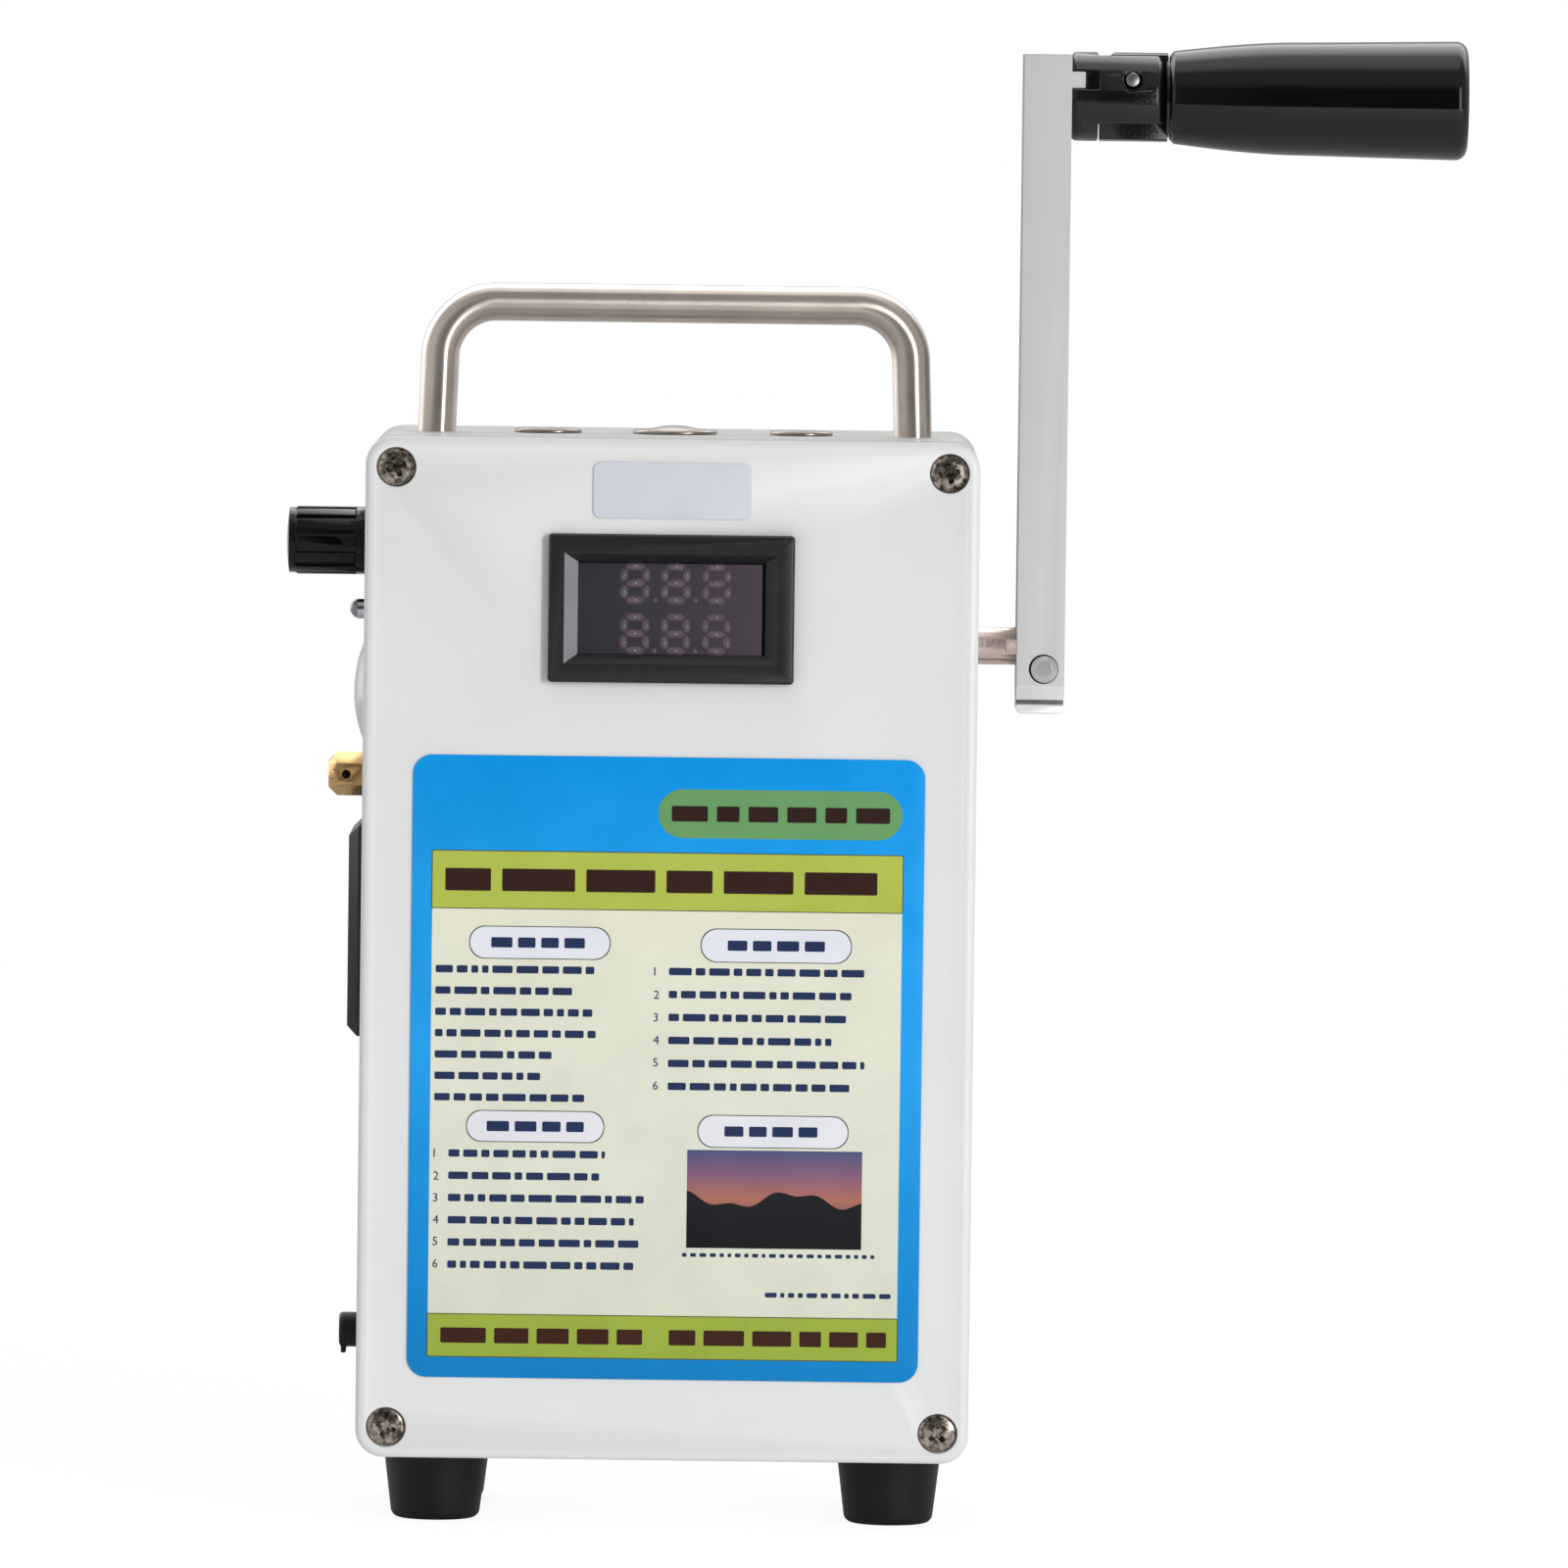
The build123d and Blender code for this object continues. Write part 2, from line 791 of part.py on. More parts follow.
def crank_shaft():
    radius = shaft_diameter / 2
    shaft = along_x(
        radius, inner_plate_x - gear_end_gap, hub_x - seat_gap, crank_y, crank_z
    )
    flat_y = crank_y - radius
    shaft -= block(
        side_x + face_gap,
        arm_x - shaft_flat_end,
        flat_y - cut_margin,
        flat_y + shaft_flat_depth,
        crank_z - radius,
        crank_z + radius,
    )
    notch = along_y(
        lock_screw_shank / 2 + seat_gap,
        crank_y - arm_width / 2,
        crank_y + arm_width / 2,
        lock_screw_x(),
        crank_z - lock_screw_drop,
    )
    return shaft - notch


def lock_screw_x():
    return arm_x + arm_thickness / 2 + lock_screw_offset


def crank_arm():
    half = arm_width / 2
    groove_top = -arm_flat_below - arm_chamfer
    groove_bottom = groove_top - arm_groove
    lip = half - arm_chamfer
    side = [
        (half, arm_above),
        (half, -arm_flat_below),
        (lip, groove_top),
        (lip - arm_groove_depth, groove_top),
        (lip - arm_groove_depth, groove_bottom),
        (lip, groove_bottom),
        (lip, -arm_below),
    ]
    outline = side + [(-y, z) for y, z in reversed(side)]
    plane = Plane((arm_x, crank_y, crank_z), x_dir=(0, 1, 0), z_dir=(1, 0, 0))
    arm = extrude(plane * make_face(Polyline(*outline, close=True)), arm_thickness)
    arm = fillet(arm.edges().filter_by(Axis.Y).group_by(Axis.Z)[0], arm_end_radius)
    arm -= along_x(shaft_diameter / 2 + seat_gap, arm_x, hub_x, crank_y, crank_z)
    arm -= along_x(hub_stud / 2 + seat_gap, arm_x, hub_x, crank_y, handle_z)
    screw_z = crank_z - lock_screw_drop
    front = crank_y - half
    arm -= along_y(
        lock_screw_shank / 2 + seat_gap, front, crank_y + half, lock_screw_x(), screw_z
    )
    key_front = crank_y - hub_diameter / 2 + key_inset
    key_z = handle_z + key_rise
    key = block(
        hub_x,
        hub_x + key_reach,
        key_front,
        key_front + key_depth,
        key_z - key_height / 2 + seat_gap,
        key_z + key_height / 2 - seat_gap,
    )
    return arm + key


def arm_lock_screw():
    z = crank_z - lock_screw_drop
    front = crank_y - arm_width / 2
    head = dome_front(lock_screw_head / 2, lock_screw_dome, front, lock_screw_x(), z)
    shank = along_y(
        lock_screw_shank / 2, front, crank_y + arm_width / 2, lock_screw_x(), z
    )
    return head + shank


def handle_knuckle():
    """The knuckle on the arm: a disc with two ears, and a stud riveted through the arm."""
    radius = hub_diameter / 2
    ear_end = hub_x + hub_length
    body = turned_x(
        [
            (hub_x, 0),
            (hub_x, radius - hub_chamfer / 2),
            (hub_x + hub_chamfer / 2, radius),
            (ear_end - hub_chamfer, radius),
            (ear_end, radius - hub_chamfer),
            (ear_end, 0),
        ],
        crank_y,
        handle_z,
    )
    ears_from = hub_x + hub_base
    body -= block(
        ears_from,
        ear_end,
        crank_y - hub_slot / 2,
        crank_y + hub_slot / 2,
        handle_z - radius,
        handle_z + radius,
    )
    body -= block(
        ears_from,
        ear_end,
        crank_y - radius,
        crank_y + radius,
        handle_z - radius,
        handle_z - hub_flat_drop,
    )
    key_z = handle_z + key_rise
    body -= block(
        hub_x,
        ears_from,
        crank_y - radius,
        crank_y - radius + key_inset + key_depth + seat_gap,
        key_z - key_height / 2,
        key_z + key_height / 2,
    )
    body -= along_y(
        pin_diameter / 2 + seat_gap, crank_y - radius, crank_y + radius, pin_x, pin_z
    )
    face = pin_end_y()
    for side in (-1, 1):
        body -= along_y(
            pin_countersink / 2,
            crank_y + side * (face - pin_countersink_depth),
            crank_y + side * radius,
            pin_x,
            pin_z,
        )
    return body + along_x(hub_stud / 2, arm_x, hub_x, crank_y, handle_z)


def pin_end_y():
    """Half the width of the knuckle at the height of the fold pin."""
    return ((hub_diameter / 2) ** 2 - pin_rise**2) ** 0.5


def fold_pin():
    reach = pin_end_y() - pin_countersink_depth / 2
    return along_y(pin_diameter / 2, crank_y - reach, crank_y + reach, pin_x, pin_z)


def fold_tongue():
    """The moving tongue: its square lower corner rests on the disc, its upper one is round."""
    radius = hub_diameter / 2
    start = hub_x + hub_base + face_gap
    end = grip_x - face_gap
    back = pin_x - start
    rise = radius - pin_rise
    top_x = pin_x - (back * back - rise * rise) ** 0.5
    turn = (pi - acos((pin_x - top_x) / back)) / 2 + pi / 2
    middle = (pin_x + back * cos(turn), pin_z + back * sin(turn))
    edges = (
        Line((start, handle_z - radius), (start, pin_z))
        + ThreePointArc((start, pin_z), middle, (top_x, pin_z + rise))
        + Line((top_x, pin_z + rise), (end, pin_z + rise))
        + Line((end, pin_z + rise), (end, handle_z - radius))
        + Line((end, handle_z - radius), (start, handle_z - radius))
    )
    plane = Plane((0, crank_y + tongue_thickness / 2, 0), x_dir=(1, 0, 0), z_dir=(0, -1, 0))
    body = extrude(plane * make_face(edges), tongue_thickness)
    body &= along_x(radius, start, end, crank_y, handle_z)
    body -= along_y(
        pin_diameter / 2 + running_gap, crank_y - radius, crank_y + radius, pin_x, pin_z
    )
    stud_start = end - spindle_stud_length - face_gap
    return body - along_x(spindle_stud / 2 + seat_gap, stud_start, end, crank_y, handle_z)


def grip_spindle():
    start = grip_x - face_gap
    end = grip_x + grip_length - grip_end_wall - face_gap
    stud = along_x(spindle_stud / 2, start - spindle_stud_length, start, crank_y, handle_z)
    return stud + along_x(spindle_diameter / 2, start, end, crank_y, handle_z)


def grip():
    end = grip_x + grip_length
    swell = grip_x + grip_swell_at
    flare = grip_x + grip_root_chamfer
    rounding = grip_end_rounding * (1 - cos(pi / 4))
    shoulder = end - grip_end_rounding
    middle_radius = grip_root_radius + grip_swell_share * (grip_swell_radius - grip_root_radius)
    edges = (
        Line((grip_x, 0), (grip_x, grip_root_radius - grip_root_chamfer))
        + Line((grip_x, grip_root_radius - grip_root_chamfer), (flare, grip_root_radius))
        + ThreePointArc(
            (flare, grip_root_radius),
            ((flare + swell) / 2, middle_radius),
            (swell, grip_swell_radius),
        )
        + Line((swell, grip_swell_radius), (shoulder, grip_end_radius))
        + ThreePointArc(
            (shoulder, grip_end_radius),
            (end - rounding, grip_end_radius - rounding),
            (end, grip_end_radius - grip_end_rounding),
        )
        + Line((end, grip_end_radius - grip_end_rounding), (end, 0))
        + Line((end, 0), (grip_x, 0))
    )
    body = Pos(0, crank_y, handle_z) * revolve(make_face(edges), Axis.X)
    bore = spindle_diameter / 2 + running_gap
    return body - along_x(bore, grip_x, end - grip_end_wall, crank_y, handle_z)


def tooth_half_angle(teeth, radius):
    """Half the angle that an involute tooth takes up at a radius."""
    pitch = module * teeth / 2
    base = pitch * cos(pressure_angle)
    angle = acos(min(1, base / radius))
    rolled = (tan(pressure_angle) - pressure_angle) - (tan(angle) - angle)
    return pi / 2 / teeth - backlash / 2 / pitch + rolled


def gear(teeth, width, bore, x, y, z, turn):
    """A spur gear about X, whose first tooth points up, turned by a share of one tooth pitch."""
    pitch = module * teeth / 2
    levels = (pitch - dedendum * module, pitch, pitch + addendum * module)
    points = []
    for number in range(teeth):
        centre = 2 * pi * (number + turn) / teeth
        left = [(r, centre - tooth_half_angle(teeth, r)) for r in levels]
        right = [(r, centre + tooth_half_angle(teeth, r)) for r in reversed(levels)]
        points += [(r * cos(angle), r * sin(angle)) for r, angle in left + right]
    plane = Plane((x, y, z), x_dir=(0, 0, 1), z_dir=(1, 0, 0))
    body = extrude(plane * make_face(Polyline(*points, close=True)), width)
    return body - along_x(bore, x, x + width, y, z)


def crank_gear():
    body = gear(
        crank_teeth,
        crank_gear_width,
        shaft_diameter / 2 + seat_gap,
        crank_gear_x,
        crank_y,
        crank_z,
        0,
    )
    return body


def idler_gear():
    bore = idler_shaft_diameter / 2 + running_gap
    small_x = idler_large_x + idler_gear_width
    small_end = crank_gear_x + crank_gear_width
    large = gear(idler_large_teeth, idler_gear_width, bore, idler_large_x, crank_y, idler_z, 0)
    small = gear(
        idler_small_teeth, small_end - small_x, bore, small_x, crank_y, idler_z, 0.5
    )
    return large + small


def idler_shaft():
    end = outer_plate_x + gear_plate
    return along_x(idler_shaft_diameter / 2, inner_plate_x, end, crank_y, idler_z)


def generator_pinion():
    bore = rotor_shaft_diameter / 2 + running_gap
    return gear(pinion_teeth, idler_gear_width, bore, idler_large_x, crank_y, generator_z, 0.5)


def plate_outline(x):
    """A gear plate at x: its outline runs round the four pillars."""
    reach = plate_pillar_reach + plate_margin
    lower_reach = lower_pillar_reach + plate_margin
    top = crank_z + plate_pillar_rise + plate_margin
    bottom = generator_z - lower_pillar_drop - plate_margin
    points = [
        (crank_y - reach, top),
        (crank_y + reach, top),
        (crank_y + lower_reach, bottom),
        (crank_y - lower_reach, bottom),
    ]
    plane = Plane((x, 0, 0), x_dir=(0, 1, 0), z_dir=(1, 0, 0))
    body = extrude(plane * make_face(Polyline(*points, close=True)), gear_plate)
    body = fillet(body.edges().filter_by(Axis.X), plate_margin)
    for y, z in plate_corners:
        body -= along_x(plate_screw_shank / 2 + seat_gap, x, x + gear_plate, y, z)
    body -= along_x(bush_outer / 2 + seat_gap, x, x + gear_plate, crank_y, crank_z)
    return body - along_x(
        idler_shaft_diameter / 2 + seat_gap, x, x + gear_plate, crank_y, idler_z
    )


def gear_plate_inner():
    hole = rotor_shaft_diameter / 2 + face_gap
    end = inner_plate_x + gear_plate
    return plate_outline(inner_plate_x) - along_x(hole, inner_plate_x, end, crank_y, generator_z)


def gear_plate_outer():
    return plate_outline(outer_plate_x)


def plate_pillars():
    start = inner_plate_x + gear_plate
    pillars = []
    for y, z in plate_corners:
        pillar = along_x(pillar_outer / 2, start, outer_plate_x, y, z)
        pillars.append(
            pillar - along_x(plate_screw_shank / 2 + seat_gap, start, outer_plate_x, y, z)
        )
    return pillars


def plate_screws():
    end = inner_x - wall_boss_height + plate_screw_in_boss
    screws = []
    for y, z in plate_corners:
        head = along_x(
            plate_screw_head / 2, inner_plate_x - plate_screw_head_height, inner_plate_x, y, z
        )
        screws.append(head + along_x(plate_screw_shank / 2, inner_plate_x, end, y, z))
    return screws


def bush(x_from, x_to):
    """A plain bush for the crank shaft."""
    body = along_x(bush_outer / 2, x_from, x_to, crank_y, crank_z)
    return body - along_x(shaft_diameter / 2 + running_gap, x_from, x_to, crank_y, crank_z)


def bearing(x_from):
    """A small bearing for the generator shaft."""
    x_to = x_from + bearing_width
    body = along_x(bearing_outer / 2, x_from, x_to, crank_y, generator_z)
    bore = rotor_shaft_diameter / 2 + running_gap
    return body - along_x(bore, x_from, x_to, crank_y, generator_z)


def bearings():
    return [
        bush(inner_plate_x, inner_plate_x + gear_plate),
        bush(outer_plate_x, outer_plate_x + gear_plate),
        bush(inner_x, side_x),
        bearing(can_x - end_cap_length),
        bearing(inner_plate_x - bearing_width),
    ]


def bearing_seat(x_from, x_to, start):
    """A collar inside the generator that holds a bearing, from x_from to x_to."""
    collar = along_x(
        bearing_outer / 2 + bearing_boss_wall, x_from, x_to, crank_y, generator_z
    )
    seat = along_x(
        bearing_outer / 2 + seat_gap, start, start + bearing_width, crank_y, generator_z
    )
    return collar, seat


def generator_can():
    radius = can_diameter / 2
    body = along_x(radius, can_x, inner_plate_x, crank_y, generator_z)
    body -= along_x(
        radius - can_wall, can_x, inner_plate_x - can_wall, crank_y, generator_z
    )
    start = inner_plate_x - bearing_width
    collar, seat = bearing_seat(start, inner_plate_x - can_wall, start)
    return body + collar - seat


def generator_end_cap():
    start = can_x - end_cap_length
    body = along_x(can_diameter / 2, start, can_x, crank_y, generator_z)
    spigot_end = can_x + can_wall
    body += along_x(
        can_diameter / 2 - can_wall - seat_gap, can_x, spigot_end, crank_y, generator_z
    )
    body -= along_x(rotor_diameter / 2, can_x, spigot_end, crank_y, generator_z)
    hole = along_x(bearing_outer / 2 + seat_gap, start, can_x, crank_y, generator_z)
    return body - hole


def stator_x():
    """Where the stator starts: it is centred in the can."""
    return can_x + (can_length - can_wall - stator_length) / 2


def stator_core():
    start = stator_x()
    end = start + stator_length
    outer = can_diameter / 2 - can_wall - running_gap
    ring = along_x(outer, start, end, crank_y, generator_z)
    ring -= along_x(outer - stator_ring, start, end, crank_y, generator_z)
    spoke = block(
        start,
        end,
        -stator_tooth_width / 2,
        stator_tooth_width / 2,
        stator_bore / 2 - cut_margin,
        outer - stator_ring / 2,
    )
    for number in range(stator_teeth):
        ring += Pos(0, crank_y, generator_z) * Rot(360 / stator_teeth * number, 0, 0) * spoke
    return ring - along_x(stator_bore / 2, start, end, crank_y, generator_z)


def stator_coils():
    start = stator_x() - coil_overhang
    end = stator_x() + stator_length + coil_overhang
    inner = stator_bore / 2 + face_gap
    outer = can_diameter / 2 - can_wall - stator_ring - face_gap
    half = stator_tooth_width / 2 + seat_gap
    winding = block(start, end, -half - coil_thickness, half + coil_thickness, inner, outer)
    winding &= along_x(outer, start, end, 0, 0)
    winding -= block(start + coil_thickness, end - coil_thickness, -half, half, inner, outer)
    return [
        Pos(0, crank_y, generator_z) * Rot(360 / stator_teeth * number, 0, 0) * winding
        for number in range(stator_teeth)
    ]


def generator_rotor():
    start = stator_x()
    core = along_x(
        rotor_diameter / 2, start, start + stator_length, crank_y, generator_z
    )
    shaft_end = idler_large_x + idler_gear_width
    shaft_start = can_x - end_cap_length
    return core + along_x(
        rotor_shaft_diameter / 2, shaft_start, shaft_end, crank_y, generator_z
    )


def cell_places():
    """The axis of each cell, as (y, z)."""
    lowest = wall + tray_floor + cell_diameter / 2
    return [
        (cell_y + (column - (cell_columns - 1) / 2) * cell_pitch, lowest + layer * cell_pitch)
        for column in range(cell_columns)
        for layer in range(cell_layers)
    ]


def battery_cells():
    return [
        along_x(cell_diameter / 2, -cell_length / 2, cell_length / 2, y, z)
        for y, z in cell_places()
    ]


def cell_tray():
    body = block(
        -tray_width / 2,
        tray_width / 2,
        cell_y - tray_depth / 2,
        cell_y + tray_depth / 2,
        wall,
        wall + tray_height,
    )
    reach = cell_length / 2 + seat_gap
    for y, z in cell_places():
        body -= along_x(cell_diameter / 2 + seat_gap, -reach, reach, y, z)
    return body


def standoff_places():
    return [
        (
            board_x + x * (board_width / 2 - standoff_inset),
            board_z + z * (board_height / 2 - standoff_inset),
        )
        for x in (-1, 1)
        for z in (-1, 1)
    ]


def board_front_y():
    return inner_back_y - standoff_height - board_thickness


def inverter_board():
    return block(
        board_x - board_width / 2,
        board_x + board_width / 2,
        board_front_y(),
        board_front_y() + board_thickness,
        board_z - board_height / 2,
        board_z + board_height / 2,
    )


def transformer():
    """A square ferrite core with its winding around the middle."""
    half = transformer_size / 2
    back = board_front_y()
    core = block(
        transformer_x - half,
        transformer_x + half,
        back - transformer_depth,
        back,
        transformer_z - half,
        transformer_z + half,
    )
    reach = half - winding_margin
    winding = block(
        transformer_x - half - winding_overhang,
        transformer_x + half + winding_overhang,
        back - transformer_depth - winding_overhang,
        back - winding_overhang,
        transformer_z - reach,
        transformer_z + reach,
    )
    return core + winding


def heat_sink():
    half = heat_sink_width / 2
    back = board_front_y()
    z_from = heat_sink_z - heat_sink_height / 2
    z_to = heat_sink_z + heat_sink_height / 2
    body = block(heat_sink_x - half, heat_sink_x + half, back - heat_sink_base, back, z_from, z_to)
    pitch = (heat_sink_width - heat_sink_fin) / (heat_sink_fins - 1)
    for number in range(heat_sink_fins):
        x = heat_sink_x - half + number * pitch
        body += block(x, x + heat_sink_fin, back - heat_sink_depth, back, z_from, z_to)
    return body


def control_potentiometer():
    inside = -inner_x + control_body_length
    body = along_x(control_body / 2, -inner_x, inside, side_y, knob_z)
    bushing_end = -inner_x - control_bushing_length
    body += along_x(control_bushing / 2, bushing_end, -inner_x, side_y, knob_z)
    bore = control_shaft / 2 + running_gap
    return body - along_x(bore, bushing_end, inside - control_body_wall, side_y, knob_z)


def control_spindle():
    start = -side_x - knob_reach + knob_end_wall
    end = -inner_x + control_body_length - control_shaft_clearance
    return along_x(control_shaft / 2, start, end, side_y, knob_z)


def control_knob():
    base = -side_x - face_gap
    end = -side_x - knob_reach
    collar = base - knob_collar
    waist = end + knob_end_collar
    rim = end + knob_dome
    body = turned_x(
        [
            (base, 0),
            (base, knob_collar_diameter / 2),
            (collar, knob_collar_diameter / 2),
            (collar, knob_diameter / 2),
            (waist, knob_diameter / 2),
            (waist, knob_end_diameter / 2),
            (rim, knob_end_diameter / 2),
            (rim, 0),
        ],
        side_y,
        knob_z,
    )
    body += dome_x(knob_end_diameter / 2, knob_dome, rim, side_y, knob_z, -1)
    radius = knob_diameter / 2
    for number in range(knob_flutes):
        flute = block(
            collar,
            waist,
            -knob_flute_width / 2,
            knob_flute_width / 2,
            radius - knob_flute_depth,
            radius + cut_margin,
        )
        angle = 360 / knob_flutes * (number + 0.5)
        body -= Pos(0, side_y, knob_z) * Rot(angle, 0, 0) * flute
    body -= along_x(knob_hollow / 2, base, base - knob_hollow_depth, side_y, knob_z)
    bore_end = -side_x - knob_reach + knob_end_wall - seat_gap
    return body - along_x(control_shaft / 2 + seat_gap, base, bore_end, side_y, knob_z)


def nut_x(across_flats, bore, x_from, x_to, z):
    """A hexagon nut on the left wall."""
    body = hexagon_x(across_flats, x_from, x_to, side_y, z)
    return body - along_x(bore / 2 + running_gap, x_from, x_to, side_y, z)


def panel_nuts():
    """The nuts behind and before the panels: control, post, jack and three buttons."""
    nuts = [
        nut_x(
            control_nut, control_bushing, -side_x, -side_x - control_nut_thickness, knob_z
        ),
        nut_x(post_nut, post_stud, -inner_x, -inner_x + nut_thickness, post_z),
        nut_x(jack_nut, jack_diameter, -inner_x, -inner_x + nut_thickness, jack_z),
    ]
    for x, bezel, dome in buttons.values():
        radius = button_body_radius(bezel)
        low = ceiling_z - button_nut_thickness
        hexagon = RegularPolygon(radius + button_nut_rim, 6)
        nut = Pos(x, button_y, low) * extrude(hexagon, button_nut_thickness)
        nuts.append(nut - along_z(radius + running_gap, low, ceiling_z, x, button_y))
    return nuts


def indicator_holder():
    radius = indicator_diameter / 2
    body = along_x(radius, -side_x - indicator_holder_reach, -inner_x, side_y, indicator_z)
    body += along_x(
        indicator_flange / 2,
        -inner_x,
        -inner_x + indicator_flange_thickness,
        side_y,
        indicator_z,
    )
    return body - along_x(
        indicator_lead / 2 + running_gap,
        -side_x - indicator_holder_reach,
        -inner_x + indicator_flange_thickness,
        side_y,
        indicator_z,
    )


def indicator_led():
    rim = -side_x - indicator_holder_reach
    height = indicator_reach - indicator_holder_reach
    body = dome_x(indicator_diameter / 2 - seat_gap, height, rim, side_y, indicator_z, -1)
    return body + along_x(
        indicator_lead / 2, rim, -inner_x + indicator_flange_thickness, side_y, indicator_z
    )


def lamp_lens():
    inside = -side_x + lamp_skirt_length
    body = dome_x(lamp_diameter / 2, lamp_dome, -side_x, side_y, lamp_z, -1)
    body += along_x(lamp_skirt / 2, -side_x, inside, side_y, lamp_z)
    return body - along_x(
        lamp_skirt / 2 - lamp_skirt_wall, -side_x, inside, side_y, lamp_z
    )


def lamp_ring():
    start = -inner_x
    end = start + lamp_ring_thickness
    body = along_x(lamp_ring_outer / 2, start, end, side_y, lamp_z)
    return body - along_x(lamp_skirt / 2 + running_gap, start, end, side_y, lamp_z)


def lamp_board():
    radius = lamp_skirt / 2 - lamp_skirt_wall - seat_gap
    end = -side_x + lamp_skirt_length
    start = end - lamp_board_thickness
    body = along_x(radius, start, end, side_y, lamp_z)
    for number in range(lamp_chips):
        angle = 2 * pi * number / lamp_chips
        y = side_y + lamp_chip_circle * cos(angle)
        z = lamp_z + lamp_chip_circle * sin(angle)
        half = lamp_chip / 2
        body += block(start - lamp_chip_height, start, y - half, y + half, z - half, z + half)
    return body


def earth_post():
    end = -side_x - post_reach
    body = hexagon_x(post_across_flats, end, -side_x, side_y, post_z)
    corner = post_across_flats / 2 / cos(pi / 6)
    body &= turned_x(
        [
            (end, 0),
            (end, corner - post_end_chamfer),
            (end + post_end_chamfer + cut_margin, corner + cut_margin),
            (-side_x, corner + cut_margin),
            (-side_x, 0),
        ],
        side_y,
        post_z,
    )
    body += along_x(post_stud / 2, -side_x, -side_x + post_stud_length, side_y, post_z)
    body -= along_x(post_wire_hole / 2, end, end + post_wire_depth, side_y, post_z)
    return body - along_y(
        post_clamp_screw / 2 + running_gap,
        side_y - post_across_flats,
        side_y,
        -side_x - post_clamp_x,
        post_z,
    )


def earth_screw():
    front = side_y - post_across_flats / 2 + face_gap
    return along_y(
        post_clamp_screw / 2,
        front,
        side_y - post_wire_hole / 2 - seat_gap,
        -side_x - post_clamp_x,
        post_z,
    )


def outlet_slots(width, length, x_from, x_to):
    """Five contact slots: a pair over a group of three, as (y, z, lean) about the middle."""
    places = [(0, -outlet_middle_drop, 0)]
    for side in (-1, 1):
        places.append((side * outlet_pair_pitch / 2, outlet_pair_rise, 0))
        places.append((side * outlet_side_pitch / 2, -outlet_side_drop, -side * outlet_side_lean))
    slots = []
    for y, z, lean in places:
        slot = block(x_from, x_to, -width / 2, width / 2, -length / 2, length / 2)
        slots.append(Pos(0, side_y + y, outlet_z + z) * Rot(lean, 0, 0) * slot)
    return slots


def ac_outlet():
    plate = block(
        -side_x - outlet_thickness,
        -side_x,
        side_y - outlet_width / 2,
        side_y + outlet_width / 2,
        outlet_z - outlet_height / 2,
        outlet_z + outlet_height / 2,
    )
    plate = chamfer(plate.edges().group_by(Axis.X)[0], outlet_chamfer)
    body = plate + block(
        -side_x,
        -side_x + outlet_body_depth,
        side_y - outlet_body_width / 2,
        side_y + outlet_body_width / 2,
        outlet_z - outlet_body_height / 2,
        outlet_z + outlet_body_height / 2,
    )
    front = -side_x - outlet_thickness
    for slot in outlet_slots(
        outlet_slot_width, outlet_slot_length, front, front + outlet_slot_depth
    ):
        body -= slot
    return body


def outlet_contacts():
    end = -side_x - outlet_thickness + outlet_slot_depth
    return outlet_slots(
        outlet_slot_width - 2 * seat_gap,
        outlet_slot_length - 2 * seat_gap,
        end - contact_length,
        end,
    )


def charge_jack():
    inside = -side_x + jack_length
    body = along_x(jack_diameter / 2, -side_x, inside, side_y, jack_z)
    body -= along_x(jack_bore / 2, -side_x, -side_x + jack_bore_depth, side_y, jack_z)
    pin_start = -side_x + jack_pin_depth
    return body + along_x(jack_pin / 2, pin_start, inside, side_y, jack_z)


def charge_plug():
    """The soft plug that closes the charge jack, with a pull tab at its lower edge."""
    radius = plug_diameter / 2
    end = -side_x - plug_reach
    body = along_x(radius, end, plug_face_x, side_y, jack_z)
    body = fillet(body.edges().group_by(Axis.X)[0], plug_edge)
    body += block(
        end + plug_tab_inset,
        end + plug_tab_inset + plug_tab_thickness,
        side_y - plug_tab_depth / 2,
        side_y + plug_tab_depth / 2,
        jack_z - radius - plug_tab_drop,
        jack_z,
    )
    stem_end = -side_x + plug_stem_length
    body += along_x(jack_bore / 2 - seat_gap, plug_face_x, stem_end, side_y, jack_z)
    return body - along_x(jack_pin / 2 + seat_gap, -side_x, stem_end, side_y, jack_z)


def button_body_radius(bezel):
    """The threaded body is a little smaller than its bezel."""
    return bezel / 2 - button_rim


def button_cap_radius(bezel):
    return button_body_radius(bezel) - button_wall


def button_bodies():
    bodies = []
    for x, bezel, dome in buttons.values():
        top = housing_height + button_bezel
        bottom = top - button_body_length
        body = along_z(bezel / 2, housing_height, top, x, button_y)
        body = chamfer(body.edges().group_by(Axis.Z)[-1], button_bezel_edge)
        body += along_z(button_body_radius(bezel), bottom, housing_height, x, button_y)
        bore = button_cap_radius(bezel) + running_gap
        bodies.append(body - along_z(bore, bottom + button_floor, top, x, button_y))
    return bodies


def button_cap(name):
    x, bezel, dome = buttons[name]
    radius = button_cap_radius(bezel)
    top = housing_height + button_bezel
    body = along_z(radius, top - button_cap_length, top, x, button_y)
    return body + dome_z(radius, dome, top, x, button_y)


